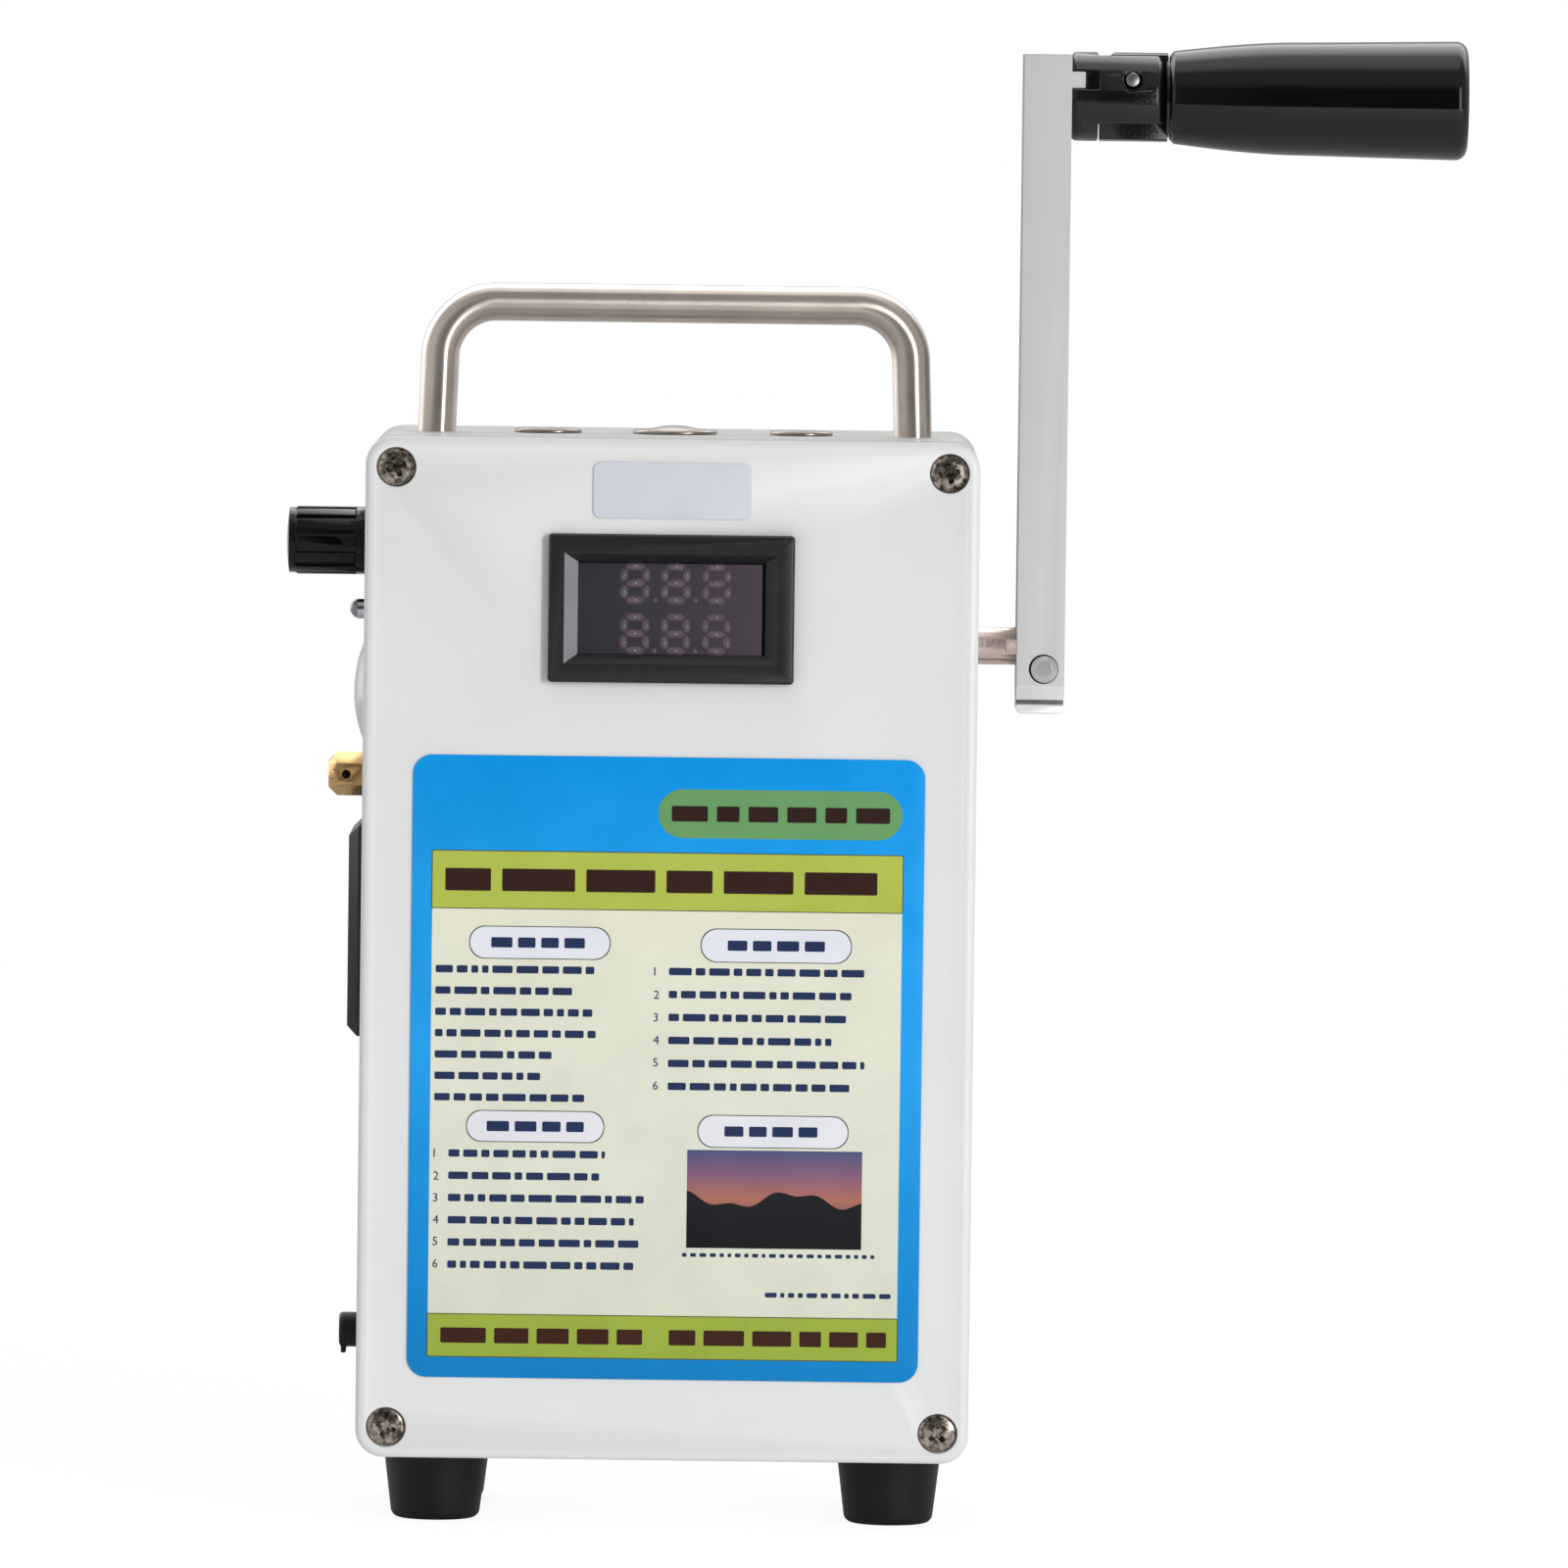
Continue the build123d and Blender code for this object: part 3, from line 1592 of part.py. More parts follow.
pieces = {
    "housing_base": housing_base(),
    "lid": lid(),
    "lid_gasket": lid_gasket(),
    "lid_screws": lid_screws(),
    "feet": feet(),
    "foot_screws": foot_screws(),
    "carry_handle": carry_handle(),
    "carry_handle_screws": carry_handle_screws(),
    "meter_bezel": meter_bezel(),
    "meter_window": meter_window(),
    "meter_display": meter_display(),
    "meter_board": meter_board(),
    "front_sheet": front_sheet(),
    "name_plate": name_plate(),
    "crank_shaft": crank_shaft(),
    "crank_arm": crank_arm(),
    "arm_lock_screw": arm_lock_screw(),
    "handle_knuckle": handle_knuckle(),
    "fold_pin": fold_pin(),
    "fold_tongue": fold_tongue(),
    "grip_spindle": grip_spindle(),
    "grip": grip(),
    "crank_gear": crank_gear(),
    "idler_gear": idler_gear(),
    "idler_shaft": idler_shaft(),
    "generator_pinion": generator_pinion(),
    "gear_plate_inner": gear_plate_inner(),
    "gear_plate_outer": gear_plate_outer(),
    "plate_pillars": plate_pillars(),
    "plate_screws": plate_screws(),
    "bearings": bearings(),
    "generator_can": generator_can(),
    "generator_end_cap": generator_end_cap(),
    "stator_core": stator_core(),
    "stator_coils": stator_coils(),
    "generator_rotor": generator_rotor(),
    "battery_cells": battery_cells(),
    "cell_tray": cell_tray(),
    "inverter_board": inverter_board(),
    "transformer": transformer(),
    "heat_sink": heat_sink(),
    "control_potentiometer": control_potentiometer(),
    "control_spindle": control_spindle(),
    "control_knob": control_knob(),
    "panel_nuts": panel_nuts(),
    "indicator_holder": indicator_holder(),
    "indicator_led": indicator_led(),
    "lamp_lens": lamp_lens(),
    "lamp_ring": lamp_ring(),
    "lamp_board": lamp_board(),
    "earth_post": earth_post(),
    "earth_screw": earth_screw(),
    "ac_outlet": ac_outlet(),
    "outlet_contacts": outlet_contacts(),
    "charge_jack": charge_jack(),
    "charge_plug": charge_plug(),
    "button_bodies": button_bodies(),
}
for name in buttons:
    pieces["button_cap_" + name] = button_cap(name)


def leave_in_row_frame(shape):
    """Moves a piece, or a group of like pieces, to the frame of the whole object."""
    solids = shape if isinstance(shape, list) else [shape]
    moved = [Pos(*(-value for value in row_origin)) * solid for solid in solids]
    return moved[0] if len(moved) == 1 else Compound(children=moved)


for name, shape in pieces.items():
    export_step(leave_in_row_frame(shape), "parts/" + name + ".step")
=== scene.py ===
import json
import math
import bpy
import bmesh
import numpy as np
from mathutils import Matrix, Vector

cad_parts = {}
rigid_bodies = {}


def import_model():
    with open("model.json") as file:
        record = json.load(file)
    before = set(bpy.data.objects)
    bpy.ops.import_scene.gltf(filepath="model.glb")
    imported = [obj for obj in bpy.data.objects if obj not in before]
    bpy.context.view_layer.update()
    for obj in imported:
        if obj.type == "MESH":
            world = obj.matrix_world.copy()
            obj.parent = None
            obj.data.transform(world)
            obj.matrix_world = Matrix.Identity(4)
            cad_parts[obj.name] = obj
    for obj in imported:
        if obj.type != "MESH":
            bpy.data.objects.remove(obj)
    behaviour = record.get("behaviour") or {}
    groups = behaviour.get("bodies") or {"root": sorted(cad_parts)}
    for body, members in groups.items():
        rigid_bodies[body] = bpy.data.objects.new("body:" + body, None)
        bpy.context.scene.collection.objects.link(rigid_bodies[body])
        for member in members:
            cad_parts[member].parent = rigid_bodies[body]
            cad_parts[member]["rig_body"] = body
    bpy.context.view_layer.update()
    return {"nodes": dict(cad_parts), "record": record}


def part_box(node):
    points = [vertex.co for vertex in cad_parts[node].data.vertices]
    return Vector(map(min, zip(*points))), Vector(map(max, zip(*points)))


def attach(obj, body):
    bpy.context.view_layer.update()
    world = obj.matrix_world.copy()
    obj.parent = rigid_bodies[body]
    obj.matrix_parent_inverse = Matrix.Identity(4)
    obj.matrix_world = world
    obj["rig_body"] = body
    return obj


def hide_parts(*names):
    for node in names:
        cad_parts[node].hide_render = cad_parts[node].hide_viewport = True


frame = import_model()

# Shapes are worked out in millimetres about the middle of the housing's underside, with X to the
# crank, Y to the back and Z up. The frame has the same axes in metres, so one shift joins them.
baseLow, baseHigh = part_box("housing_base")
lidLow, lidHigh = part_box("lid")
origin = np.array([(baseLow.x + baseHigh.x) / 2, (lidLow.y + baseHigh.y) / 2, baseLow.z])


def toRow(points):
    # millimetres about the housing, divided by a thousand and moved to the frame's origin
    return np.asarray(points, float) / 1000 + origin


def boxOf(node):
    # lowest and highest corner of a CAD node, in millimetres about the housing
    low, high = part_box(node)
    return (np.array(low) - origin) * 1000, (np.array(high) - origin) * 1000


def placed(name, data):
    # a new object in the scene, at the frame's origin
    thing = bpy.data.objects.new(name, data)
    bpy.context.scene.collection.objects.link(thing)
    return thing


camera = {
    "lens": 348.3,       # millimetres, for a sensor 36 millimetres wide
    "sensor": 36,
    "distance": 3000,
    "lookAt": (22.4, 0, 131),
    "down": 3.1,         # degrees below level
    "roll": 0.716,       # degrees, which leans the object to the right
}


def makeCamera():
    down, roll = math.radians(camera["down"]), math.radians(camera["roll"])
    x, y, z = camera["lookAt"]
    back, up = camera["distance"] * math.cos(down), camera["distance"] * math.sin(down)
    data = bpy.data.cameras.new("studioCamera")
    data.lens = camera["lens"]
    data.sensor_width = camera["sensor"]
    data.clip_start, data.clip_end = 0.1, 50
    eye = placed("studioCamera", data)
    # the roll is about the view axis, so it comes before the tilt about X
    turn = Matrix.Rotation(math.pi / 2 - down, 4, "X") @ Matrix.Rotation(roll, 4, "Z")
    eye.matrix_world = Matrix.Translation(toRow((x, y - back, z + up))) @ turn
    bpy.context.scene.camera = eye


makeCamera()


def linear(hexText):
    # sRGB to linear: a twelfth below 0.04, and the 2.4 power above it
    values = [int(hexText[i:i + 2], 16) / 255 for i in (1, 3, 5)]
    return [v / 12.92 if v <= 0.04045 else ((v + 0.055) / 1.055) ** 2.4 for v in values] + [1]


def connect(tree, node, inputs):
    # for each input a value to hold, or a socket to link, or a node whose first output is linked
    for key, value in inputs.items():
        if isinstance(value, bpy.types.Node):
            value = value.outputs[0]
        if isinstance(value, bpy.types.NodeSocket):
            tree.links.new(value, node.inputs[key])
        else:
            node.inputs[key].default_value = value


def addNode(tree, kind, inputs={}, **settings):
    node = tree.nodes.new("ShaderNode" + kind)
    for key, value in settings.items():
        setattr(node, key, value)
    connect(tree, node, inputs)
    return node


def setStops(ramp, stops):
    # a colour ramp comes with two stops, which are moved before more are made
    elements = ramp.color_ramp.elements
    for number, (position, colour) in enumerate(stops):
        stop = elements[number] if number < 2 else elements.new(position)
        stop.position, stop.color = position, colour


def blankMaterial(name):
    material = bpy.data.materials.new(name)
    material.use_nodes = True
    return material, material.node_tree, material.node_tree.nodes["Principled BSDF"]


finishes = {}


def makeFinish(name, colour, second, patch=12, rough=(0.4, 0.5), grain=0.4, depth=0.004,
               stretch=(1, 1, 1), coords="Object", metal=0, sockets={}):
    # Two colours blend over patches of a size in millimetres. Roughness and height follow a grain,
    # drawn out along an axis where stretch is above one. Scales count per metre, so 1000 / size.
    material, tree, shader = blankMaterial(name)
    place = addNode(tree, "TexCoord").outputs[coords]
    drawn = addNode(tree, "Mapping", {"Vector": place, "Scale": [1 / s for s in stretch]})
    cloud = addNode(tree, "TexNoise", {"Vector": place, "Scale": 1000 / patch, "Detail": 3})
    fine = addNode(tree, "TexNoise", {"Vector": drawn, "Scale": 1000 / grain, "Detail": 2})
    share = addNode(tree, "MapRange", {0: cloud, 1: 0.35, 2: 0.65})
    blend = addNode(tree, "Mix", {0: share, 6: linear(colour), 7: linear(second)}, data_type="RGBA")
    gloss = addNode(tree, "MapRange", {0: fine, 1: 0.3, 2: 0.7, 3: rough[0], 4: rough[1]})
    bump = addNode(tree, "Bump", {"Height": fine, "Distance": depth / 1000})
    connect(tree, shader, {"Base Color": blend.outputs[2], "Roughness": gloss, "Normal": bump,
                           "Metallic": metal, **sockets})
    finishes[name] = material
    return material


def makeFilm(name, colours, spread, axis="Z", rough=0.24):
    # ink under a clear film: stops of colour at even steps between two places along one axis, in
    # metres about the frame's origin, times a faint cloud, under a smooth skin
    material, tree, shader = blankMaterial(name)
    place = addNode(tree, "TexCoord").outputs["Object"]
    split = addNode(tree, "SeparateXYZ", {0: place})
    share = addNode(tree, "MapRange", {0: split.outputs[axis], 1: spread[0], 2: spread[1]})
    ramp = addNode(tree, "ValToRGB", {0: share})
    setStops(ramp, [(number / (len(colours) - 1), linear(colour)) for number, colour in enumerate(colours)])
    cloud = addNode(tree, "TexNoise", {"Vector": place, "Scale": 90, "Detail": 4})
    level = addNode(tree, "MapRange", {0: cloud, 1: 0.3, 2: 0.7, 3: 0.955, 4: 1.03})
    tint = addNode(tree, "VectorMath", {0: ramp, "Scale": level}, operation="SCALE")
    gloss = addNode(tree, "MapRange", {0: cloud, 1: 0.3, 2: 0.7, 3: rough, 4: rough + 0.1})
    connect(tree, shader, {"Base Color": tint, "Roughness": gloss, "Specular IOR Level": 0.2})
    finishes[name] = material


# injection-moulded ABS: an even off-white whose fine satin grain is coarser than life, so it shows
makeFinish("mouldedAbs", "#e3e4e3", "#e0e1e0", patch=30, rough=(0.36, 0.46), grain=0.35, depth=0.006)
# moulded rubber: near black, matt, with a soft sheen on its rounded edges
makeFinish("mouldedRubber", "#0c0c0e", "#111113", patch=8, rough=(0.42, 0.58), grain=0.5, depth=0.01,
           sockets={"Specular IOR Level": 0.3})
# nickel plate on domed heads: warm, bright and slightly clouded
makeFinish("nickelPlate", "#e0d2c5", "#cfc2b6", patch=3, rough=(0.24, 0.4), grain=0.25, metal=0.85)
# zinc-plated steel: grey and dull
makeFinish("zincPlate", "#c9cac8", "#babcba", patch=6, rough=(0.2, 0.3), grain=0.3, metal=0.5)
# ground stainless bar: fine marks run round it, so highlights are drawn out along it
rodTree = makeFinish("groundStainless", "#d6cbc1", "#c9beb4", patch=14, rough=(0.29, 0.32), grain=0.3,
                     depth=0.0002, stretch=(40, 1, 1), coords="UV", metal=1,
                     sockets={"Anisotropic": 0.95, "Anisotropic Rotation": 0.25}).node_tree
around = addNode(rodTree, "Tangent", direction_type="UV_MAP", uv_map="alongPiece")
connect(rodTree, rodTree.nodes["Principled BSDF"], {"Tangent": around})
# the same steel, spun, on the top buttons
makeFinish("spunStainless", "#9d958e", "#8f8780", patch=6, rough=(0.26, 0.36), grain=0.2, depth=0.001,
           metal=1)
# ground shaft steel: rings around the X axis left by the wheel
makeFinish("groundSteel", "#e6d4c9", "#d6c4b9", patch=9, rough=(0.24, 0.3), grain=0.2, depth=0.0006,
           stretch=(1, 50, 50), metal=1)
# hobbed gear steel, oiled and darker
makeFinish("gearSteel", "#8e8e90", "#77777a", patch=5, rough=(0.28, 0.4), grain=0.3, metal=1)
# drawn and etched aluminium flat bar: even silver grey, nearly matt, with faint lines along Z
makeFinish("millAluminium", "#c6c6c6", "#c2c3c3", patch=25, rough=(0.5, 0.6), grain=0.16, depth=0.002,
           stretch=(1, 1, 60), sockets={"Specular IOR Level": 0.2})
# the same bar where its end was milled: brighter, with fine cutter lines along X
makeFinish("milledAluminium", "#f0efee", "#e6e5e4", patch=6, rough=(0.3, 0.4), grain=0.12, depth=0.002,
           stretch=(60, 1, 1), metal=0.3)
# extruded aluminium of the heat sink
makeFinish("extrudedAluminium", "#8d8e92", "#85868a", rough=(0.34, 0.5), grain=0.3, stretch=(1, 1, 30),
           metal=1)
# oiled black oxide on steel: glossy black with small clouded patches
makeFinish("blackOxide", "#060608", "#0e0e11", patch=2.5, rough=(0.1, 0.22), grain=0.5,
           sockets={"Specular IOR Level": 0.6})
# moulded phenolic grip: deep black with a polished skin
makeFinish("polishedBakelite", "#030304", "#050507", patch=20, rough=(0.05, 0.08), grain=1.5, depth=0.002)
# black ABS of the meter and the outlet: satin
makeFinish("satinBlackPlastic", "#1a1a1d", "#161618", patch=10, rough=(0.3, 0.42), grain=0.3)
# glossy black nylon of the knob; also the painted shade in the gaps round the meter's window
makeFinish("glossBlackNylonAndShade", "#030304", "#060607", patch=5, rough=(0.07, 0.11), grain=0.8, depth=0.001,
           sockets={"Specular IOR Level": 0.35})
# smoked acrylic in front of the dark display: glassy, and a little more purple to the right
makeFilm("smokedAcrylic", ["#34353a", "#3a393e", "#443e45", "#50464f"],
         [corner.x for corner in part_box("meter_window")], axis="X", rough=0.1)
# painted highlight on the slope at the left of the meter's frame: the same plastic, painted pale grey where
# it catches the light
makeFinish("paintedSlopeHighlight", "#85868a", "#8b8c90", patch=6, rough=(0.2, 0.3), grain=0.5, depth=0.001)
# unlit segments seen through the smoke
makeFinish("unlitSegments", "#65555f", "#584c57", patch=2.2, rough=(0.12, 0.2), grain=0.6, depth=0.001)
# cast display block, dull and dark
makeFinish("displayBlock", "#383539", "#2e2c30")
# fibreglass board under green solder resist
makeFinish("solderResist", "#14512a", "#0f4322", patch=6, rough=(0.3, 0.42))
# plain paper label under film
makeFinish("paleLabel", "#d5d9e2", "#d0d4de", patch=14, rough=(0.28, 0.36), grain=1.2, depth=0.002)
# opal polycarbonate lamp cover
makeFinish("opalPolycarbonate", "#eef0f2", "#e9ebee", patch=15, rough=(0.2, 0.26), grain=1, depth=0.002,
           sockets={"Subsurface Weight": 0.2, "Subsurface Scale": 0.002})
# moulded white nylon, matt and a little yellow
makeFinish("whiteNylon", "#d8d8d2", "#cfcfc8", rough=(0.45, 0.55))
# drawn steel can under dark satin paint
makeFinish("paintedSteel", "#4b4d50", "#434548", rough=(0.35, 0.48), grain=0.5)
# stacked steel sheets, half a millimetre each along the shaft
makeFinish("steelLaminations", "#3f4044", "#525459", patch=3, rough=(0.35, 0.5), grain=0.5, depth=0.03,
           stretch=(1, 60, 60), metal=1)
# enamelled copper wire, wound along the generator
makeFinish("enamelledCopper", "#b86a34", "#a3582a", patch=3, rough=(0.2, 0.32), depth=0.05,
           stretch=(30, 1, 1), metal=1)
# blue sleeve shrunk on to a cell: smooth and glossy
makeFinish("shrinkSleeve", "#1a5a9c", "#17528f", rough=(0.2, 0.3), grain=1)
# moulded dark tray, matt
makeFinish("trayPlastic", "#333436", "#2e2f31", rough=(0.45, 0.55))
# ferrite core wrapped in amber tape, in broad patches of both
makeFinish("tapedFerrite", "#8a7426", "#3a3420", patch=9, rough=(0.4, 0.6), grain=0.6, depth=0.02)
# chrome plate: a near mirror
makeFinish("chromePlate", "#d3d3d8", "#c9c9ce", patch=3, rough=(0.05, 0.1), grain=0.6, depth=0.001, metal=1)
# clear cast epoxy over a grey chip: wet gloss
makeFinish("clearEpoxy", "#8e939c", "#7b8089", patch=1.5, rough=(0.04, 0.08), grain=1, depth=0.001,
           sockets={"Coat Weight": 1.0})
# turned brass, cut fine across the hexagon
makeFinish("turnedBrass", "#dcb47c", "#d8b078", patch=9, rough=(0.26, 0.3), grain=0.2, depth=0.0002,
           stretch=(1, 20, 20), metal=0.9)
# nickel plate worn through to dark steel in small patches, as on used screw heads
makeFinish("wornNickel", "#d5c8bb", "#4f463c", patch=1.1, rough=(0.1, 0.3), grain=0.3, depth=0.003, metal=1)
# painted shade in a narrow milled groove
makeFinish("grooveShade", "#5b5855", "#7d7a77", patch=4, rough=(0.4, 0.6), grain=0.2, depth=0.001, metal=0.2)
# steel screw, blackened in oil; also the painted shade in the gap round the arm's lock screw
makeFinish("blackenedScrewAndShade", "#2a251f", "#1f1b17", patch=1, rough=(0.25, 0.4), grain=0.3, metal=1)
# extruded rubber cord, grey and matt
makeFinish("extrudedGasket", "#8a8b8c", "#828384", rough=(0.55, 0.65))

slotFinish = {
    "white_abs": "mouldedAbs", "black_rubber": "mouldedRubber", "gasket_rubber": "extrudedGasket",
    "nickel_steel": "nickelPlate", "zinc_steel": "zincPlate", "stainless": "spunStainless",
    "ground_steel": "groundSteel", "gear_steel": "gearSteel", "mill_aluminium": "millAluminium",
    "black_oxide": "blackOxide", "bakelite": "polishedBakelite", "black_plastic": "satinBlackPlastic",
    "smoked_window": "smokedAcrylic", "display": "displayBlock", "circuit_board": "solderResist",
    "printed_sheet": "paleLabel", "plain_label": "paleLabel", "white_lens": "opalPolycarbonate",
    "white_nylon": "whiteNylon", "can_steel": "paintedSteel", "laminations": "steelLaminations",
    "copper_winding": "enamelledCopper", "cell_sleeve": "shrinkSleeve", "tray_plastic": "trayPlastic",
    "ferrite": "tapedFerrite", "sink_aluminium": "extrudedAluminium", "control_metal": "zincPlate",
    "chrome_plate": "chromePlate", "clear_led": "clearEpoxy", "brass": "turnedBrass",
}
slotOf = {part["node"]: part["material_slot"] for part in frame["record"]["subparts"]}
for node, cadObject in frame["nodes"].items():
    cadObject.data.materials.clear()
    cadObject.data.materials.append(finishes[slotFinish[slotOf[node]]])
print("finishes:", len(finishes))


def quads(rows, columns, closed=True):
    # the four corners of every cell of a grid of points, whose last column may join its first
    column = np.arange(columns if closed else columns - 1)
    row = np.arange(rows - 1)[:, None] * columns
    here, beside = row + column, row + (column + 1) % columns
    return np.stack([here, beside, beside + columns, here + columns], -1).reshape(-1, 4)


def filleted(corners, radii, steps):
    # every inner corner becomes an arc that touches both of its sides: two weights that follow the
    # sine of the angle turned blend its first radius into its last
    corners = np.asarray(corners, float)
    runs = [corners[:1]]
    for before, corner, after, radius in zip(corners[:-2], corners[1:-1], corners[2:], radii):
        if radius == 0:
            runs.append(corner[None])
            continue
        back, ahead = before - corner, after - corner
        back, ahead = back / np.linalg.norm(back), ahead / np.linalg.norm(ahead)
        half = math.acos(np.clip(back @ ahead, -1, 1)) / 2
        centre = corner + (back + ahead) / np.linalg.norm(back + ahead) * radius / math.sin(half)
        first = corner + back * radius / math.tan(half) - centre
        last = corner + ahead * radius / math.tan(half) - centre
        sweep = math.pi - 2 * half
        t = np.linspace(0, 1, steps + 1)[:, None]
        runs.append(centre + (np.sin((1 - t) * sweep) * first + np.sin(t * sweep) * last) / math.sin(sweep))
    return np.concatenate(runs + [corners[-1:]])


def turned(profile, centre, axis, steps):
    # a profile of (along, radius) turned about an axis: radius times the cosine and sine of the angle
    profile = np.asarray(profile, float)
    angle = np.linspace(0, 2 * math.pi, steps, endpoint=False)
    along = np.repeat(profile[:, :1], steps, 1)
    one, two = profile[:, 1:] * np.cos(angle), profile[:, 1:] * np.sin(angle)
    order = {"x": (along, one, two), "y": (two, along, one), "z": (one, two, along)}[axis]
    points = np.stack(order, -1).reshape(-1, 3) + np.asarray(centre, float)
    return points, [quads(len(profile), steps)]


def band(start, end, inner, outer):
    # the profile of a ring between two places along the axis and two radii
    return [(start, inner), (start, outer), (end, outer), (end, inner), (start, inner)]


def roundedLoop(width, height, radius, steps=8):
    # a rectangle whose corners are quarter circles, as (across, up) points about its middle
    angle = np.linspace(0, math.pi / 2, steps + 1)
    turns = (np.arange(4) * math.pi / 2)[:, None] + angle
    side = np.array([[1, 1], [-1, 1], [-1, -1], [1, -1]])
    middles = side * (np.array([width, height]) / 2 - radius)
    return (middles[:, None] + radius * np.stack([np.cos(turns), np.sin(turns)], -1)).reshape(-1, 2)


def facing(loop, depth, middle=(0, 0)):
    # a flat outline of (across, up) points stood up to face the front, at a depth along Y
    loop = np.asarray(loop, float)
    return np.stack([loop[:, 0] + middle[0], np.full(len(loop), float(depth)), loop[:, 1] + middle[1]], -1)


def stacked(loops):
    # outlines of equal count joined in order, with the first and last one filled
    loops = np.asarray(loops, float)
    count, size = loops.shape[:2]
    ends = np.stack([np.arange(size), np.arange(size) + (count - 1) * size])
    return loops.reshape(-1, 3), [quads(count, size), ends]


def plate(width, height, radius, front, back, middle, edge=0.0):
    # a rounded plate whose front edge is eased by a quarter circle of the size edge
    angle = np.linspace(0, math.pi / 2, 4 if edge else 1)
    inset, depth = edge * (1 - np.sin(angle)), front + edge * (1 - np.cos(angle))
    loops = [facing(roundedLoop(width - 2 * i, height - 2 * i, max(radius - i, 0.05)), d, middle)
             for i, d in zip(inset, depth)]
    return stacked(loops + [facing(roundedLoop(width, height, radius), back, middle)])


def tripletsOf(items, attribute):
    # one attribute of every point or face of a mesh, as rows of three numbers
    values = np.zeros(len(items) * 3)
    items.foreach_get(attribute, values)
    return values.reshape(-1, 3)


def settled(thing):
    # a mesh of its own with what an object shows after its modifiers; the object is removed
    bpy.context.view_layer.update()
    mesh = bpy.data.meshes.new_from_object(thing.evaluated_get(bpy.context.evaluated_depsgraph_get()))
    bpy.data.objects.remove(thing)
    return mesh


def joined(surfaces):
    # (points, groups of faces) pairs as one pair, each with its faces counted on from the last
    faces, start = [], 0
    for points, groups in surfaces:
        for group in groups:
            faces += (np.asarray(group) + start).tolist()
        start += len(points)
    return np.concatenate([points for points, groups in surfaces]), faces


def meshOf(name, points, faces):
    mesh = bpy.data.meshes.new(name)
    mesh.from_pydata(points, [], faces)
    return mesh


def mended(mesh, near):
    # merges points nearer than near, in the mesh's own unit, and turns all faces outwards
    shell = bmesh.new()
    shell.from_mesh(mesh)
    bmesh.ops.remove_doubles(shell, verts=shell.verts, dist=near)
    bmesh.ops.dissolve_degenerate(shell, edges=shell.edges, dist=near / 10)
    bmesh.ops.recalc_face_normals(shell, faces=shell.faces)
    shell.to_mesh(mesh)
    shell.free()


def addPiece(name, surfaces, finish, body, slot, replaces=(), sharp=35, uv=None):
    # surfaces in millimetres, joined to one mesh in the frame's metres
    points, faces = joined(surfaces)
    mesh = meshOf(name, toRow(points), faces)
    if uv is not None:
        corners = np.zeros(len(mesh.loops), np.int64)
        mesh.loops.foreach_get("vertex_index", corners)
        mesh.uv_layers.new(name="alongPiece").data.foreach_set("uv", uv[corners].ravel())
    mended(mesh, 1e-7)
    placePiece(name, mesh, finish, body, replaces, sharp)


def placePiece(name, mesh, finish, body, replaces=(), sharp=35):
    # edges over the angle sharp, in degrees, stay crisp; replaces names the CAD nodes it stands for
    mesh.shade_smooth()
    if sharp:
        mesh.set_sharp_from_angle(angle=math.radians(sharp))
    mesh.materials.clear()
    mesh.materials.append(finishes[finish])
    piece = placed(name, mesh)
    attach(piece, body)
    if replaces:
        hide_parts(*replaces)
    return piece


def dressed(name, node, finish, bevel):
    # a copy of a CAD node whose triangles are merged to whole faces, with its edges eased
    shell = bmesh.new()
    shell.from_mesh(frame["nodes"][node].data)
    bmesh.ops.remove_doubles(shell, verts=shell.verts, dist=2e-6)
    flat = math.radians(0.5)
    bmesh.ops.dissolve_limit(shell, angle_limit=flat, verts=shell.verts, edges=shell.edges)
    bmesh.ops.recalc_face_normals(shell, faces=shell.faces)
    mesh = bpy.data.meshes.new(name)
    shell.to_mesh(mesh)
    shell.free()
    body = frame["nodes"][node]["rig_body"]
    piece = placePiece(name, mesh, finish, body, [node], sharp=None)
    ease = piece.modifiers.new("easedEdges", "BEVEL")
    ease.width = bevel / 1000
    ease.segments = 2
    ease.limit_method = "ANGLE"
    ease.angle_limit = math.radians(30)
    ease.use_clamp_overlap = False
    ease.harden_normals = True
    return piece


def carved(mesh, cutter):
    # the first mesh less the second, worked out once so that no modifier stays on the piece
    block, tool = placed("block", mesh), placed("tool", cutter)
    cut = block.modifiers.new("cut", "BOOLEAN")
    cut.operation = "DIFFERENCE"
    cut.object = tool
    cut.solver = "EXACT"
    result = settled(block)
    bpy.data.objects.remove(tool)
    return result


def plainMesh(name, surfaces):
    # surfaces joined to a closed mesh that stays in millimetres about its own middle
    mesh = meshOf(name, *joined(surfaces))
    mended(mesh, 1e-5)
    return mesh


# the two shells keep their own shape, with edges eased so that the seam shows as a fine line
dressed("housingBase", "housing_base", "mouldedAbs", 0.22)
dressed("housingLid", "lid", "mouldedAbs", 0.22)

lidScrew = {
    "head": 7.2,         # diameter, all in millimetres
    "dome": 0.5,
    "thickness": 2.0,
    "rim": 0.25,         # rounding between dome and side
    "crossLength": 4.0,
    "crossWidth": 1.05,
    "crossDepth": 1.4,
    "crossTaper": 0.55,  # share of the length that is left at the bottom
    "upperSunk": 2.0,    # how deep the upper two lie; the lower two lie as deep as in the CAD
    "turns": (68, 22, 41, 12),   # degrees, as the screws happened to stop
}


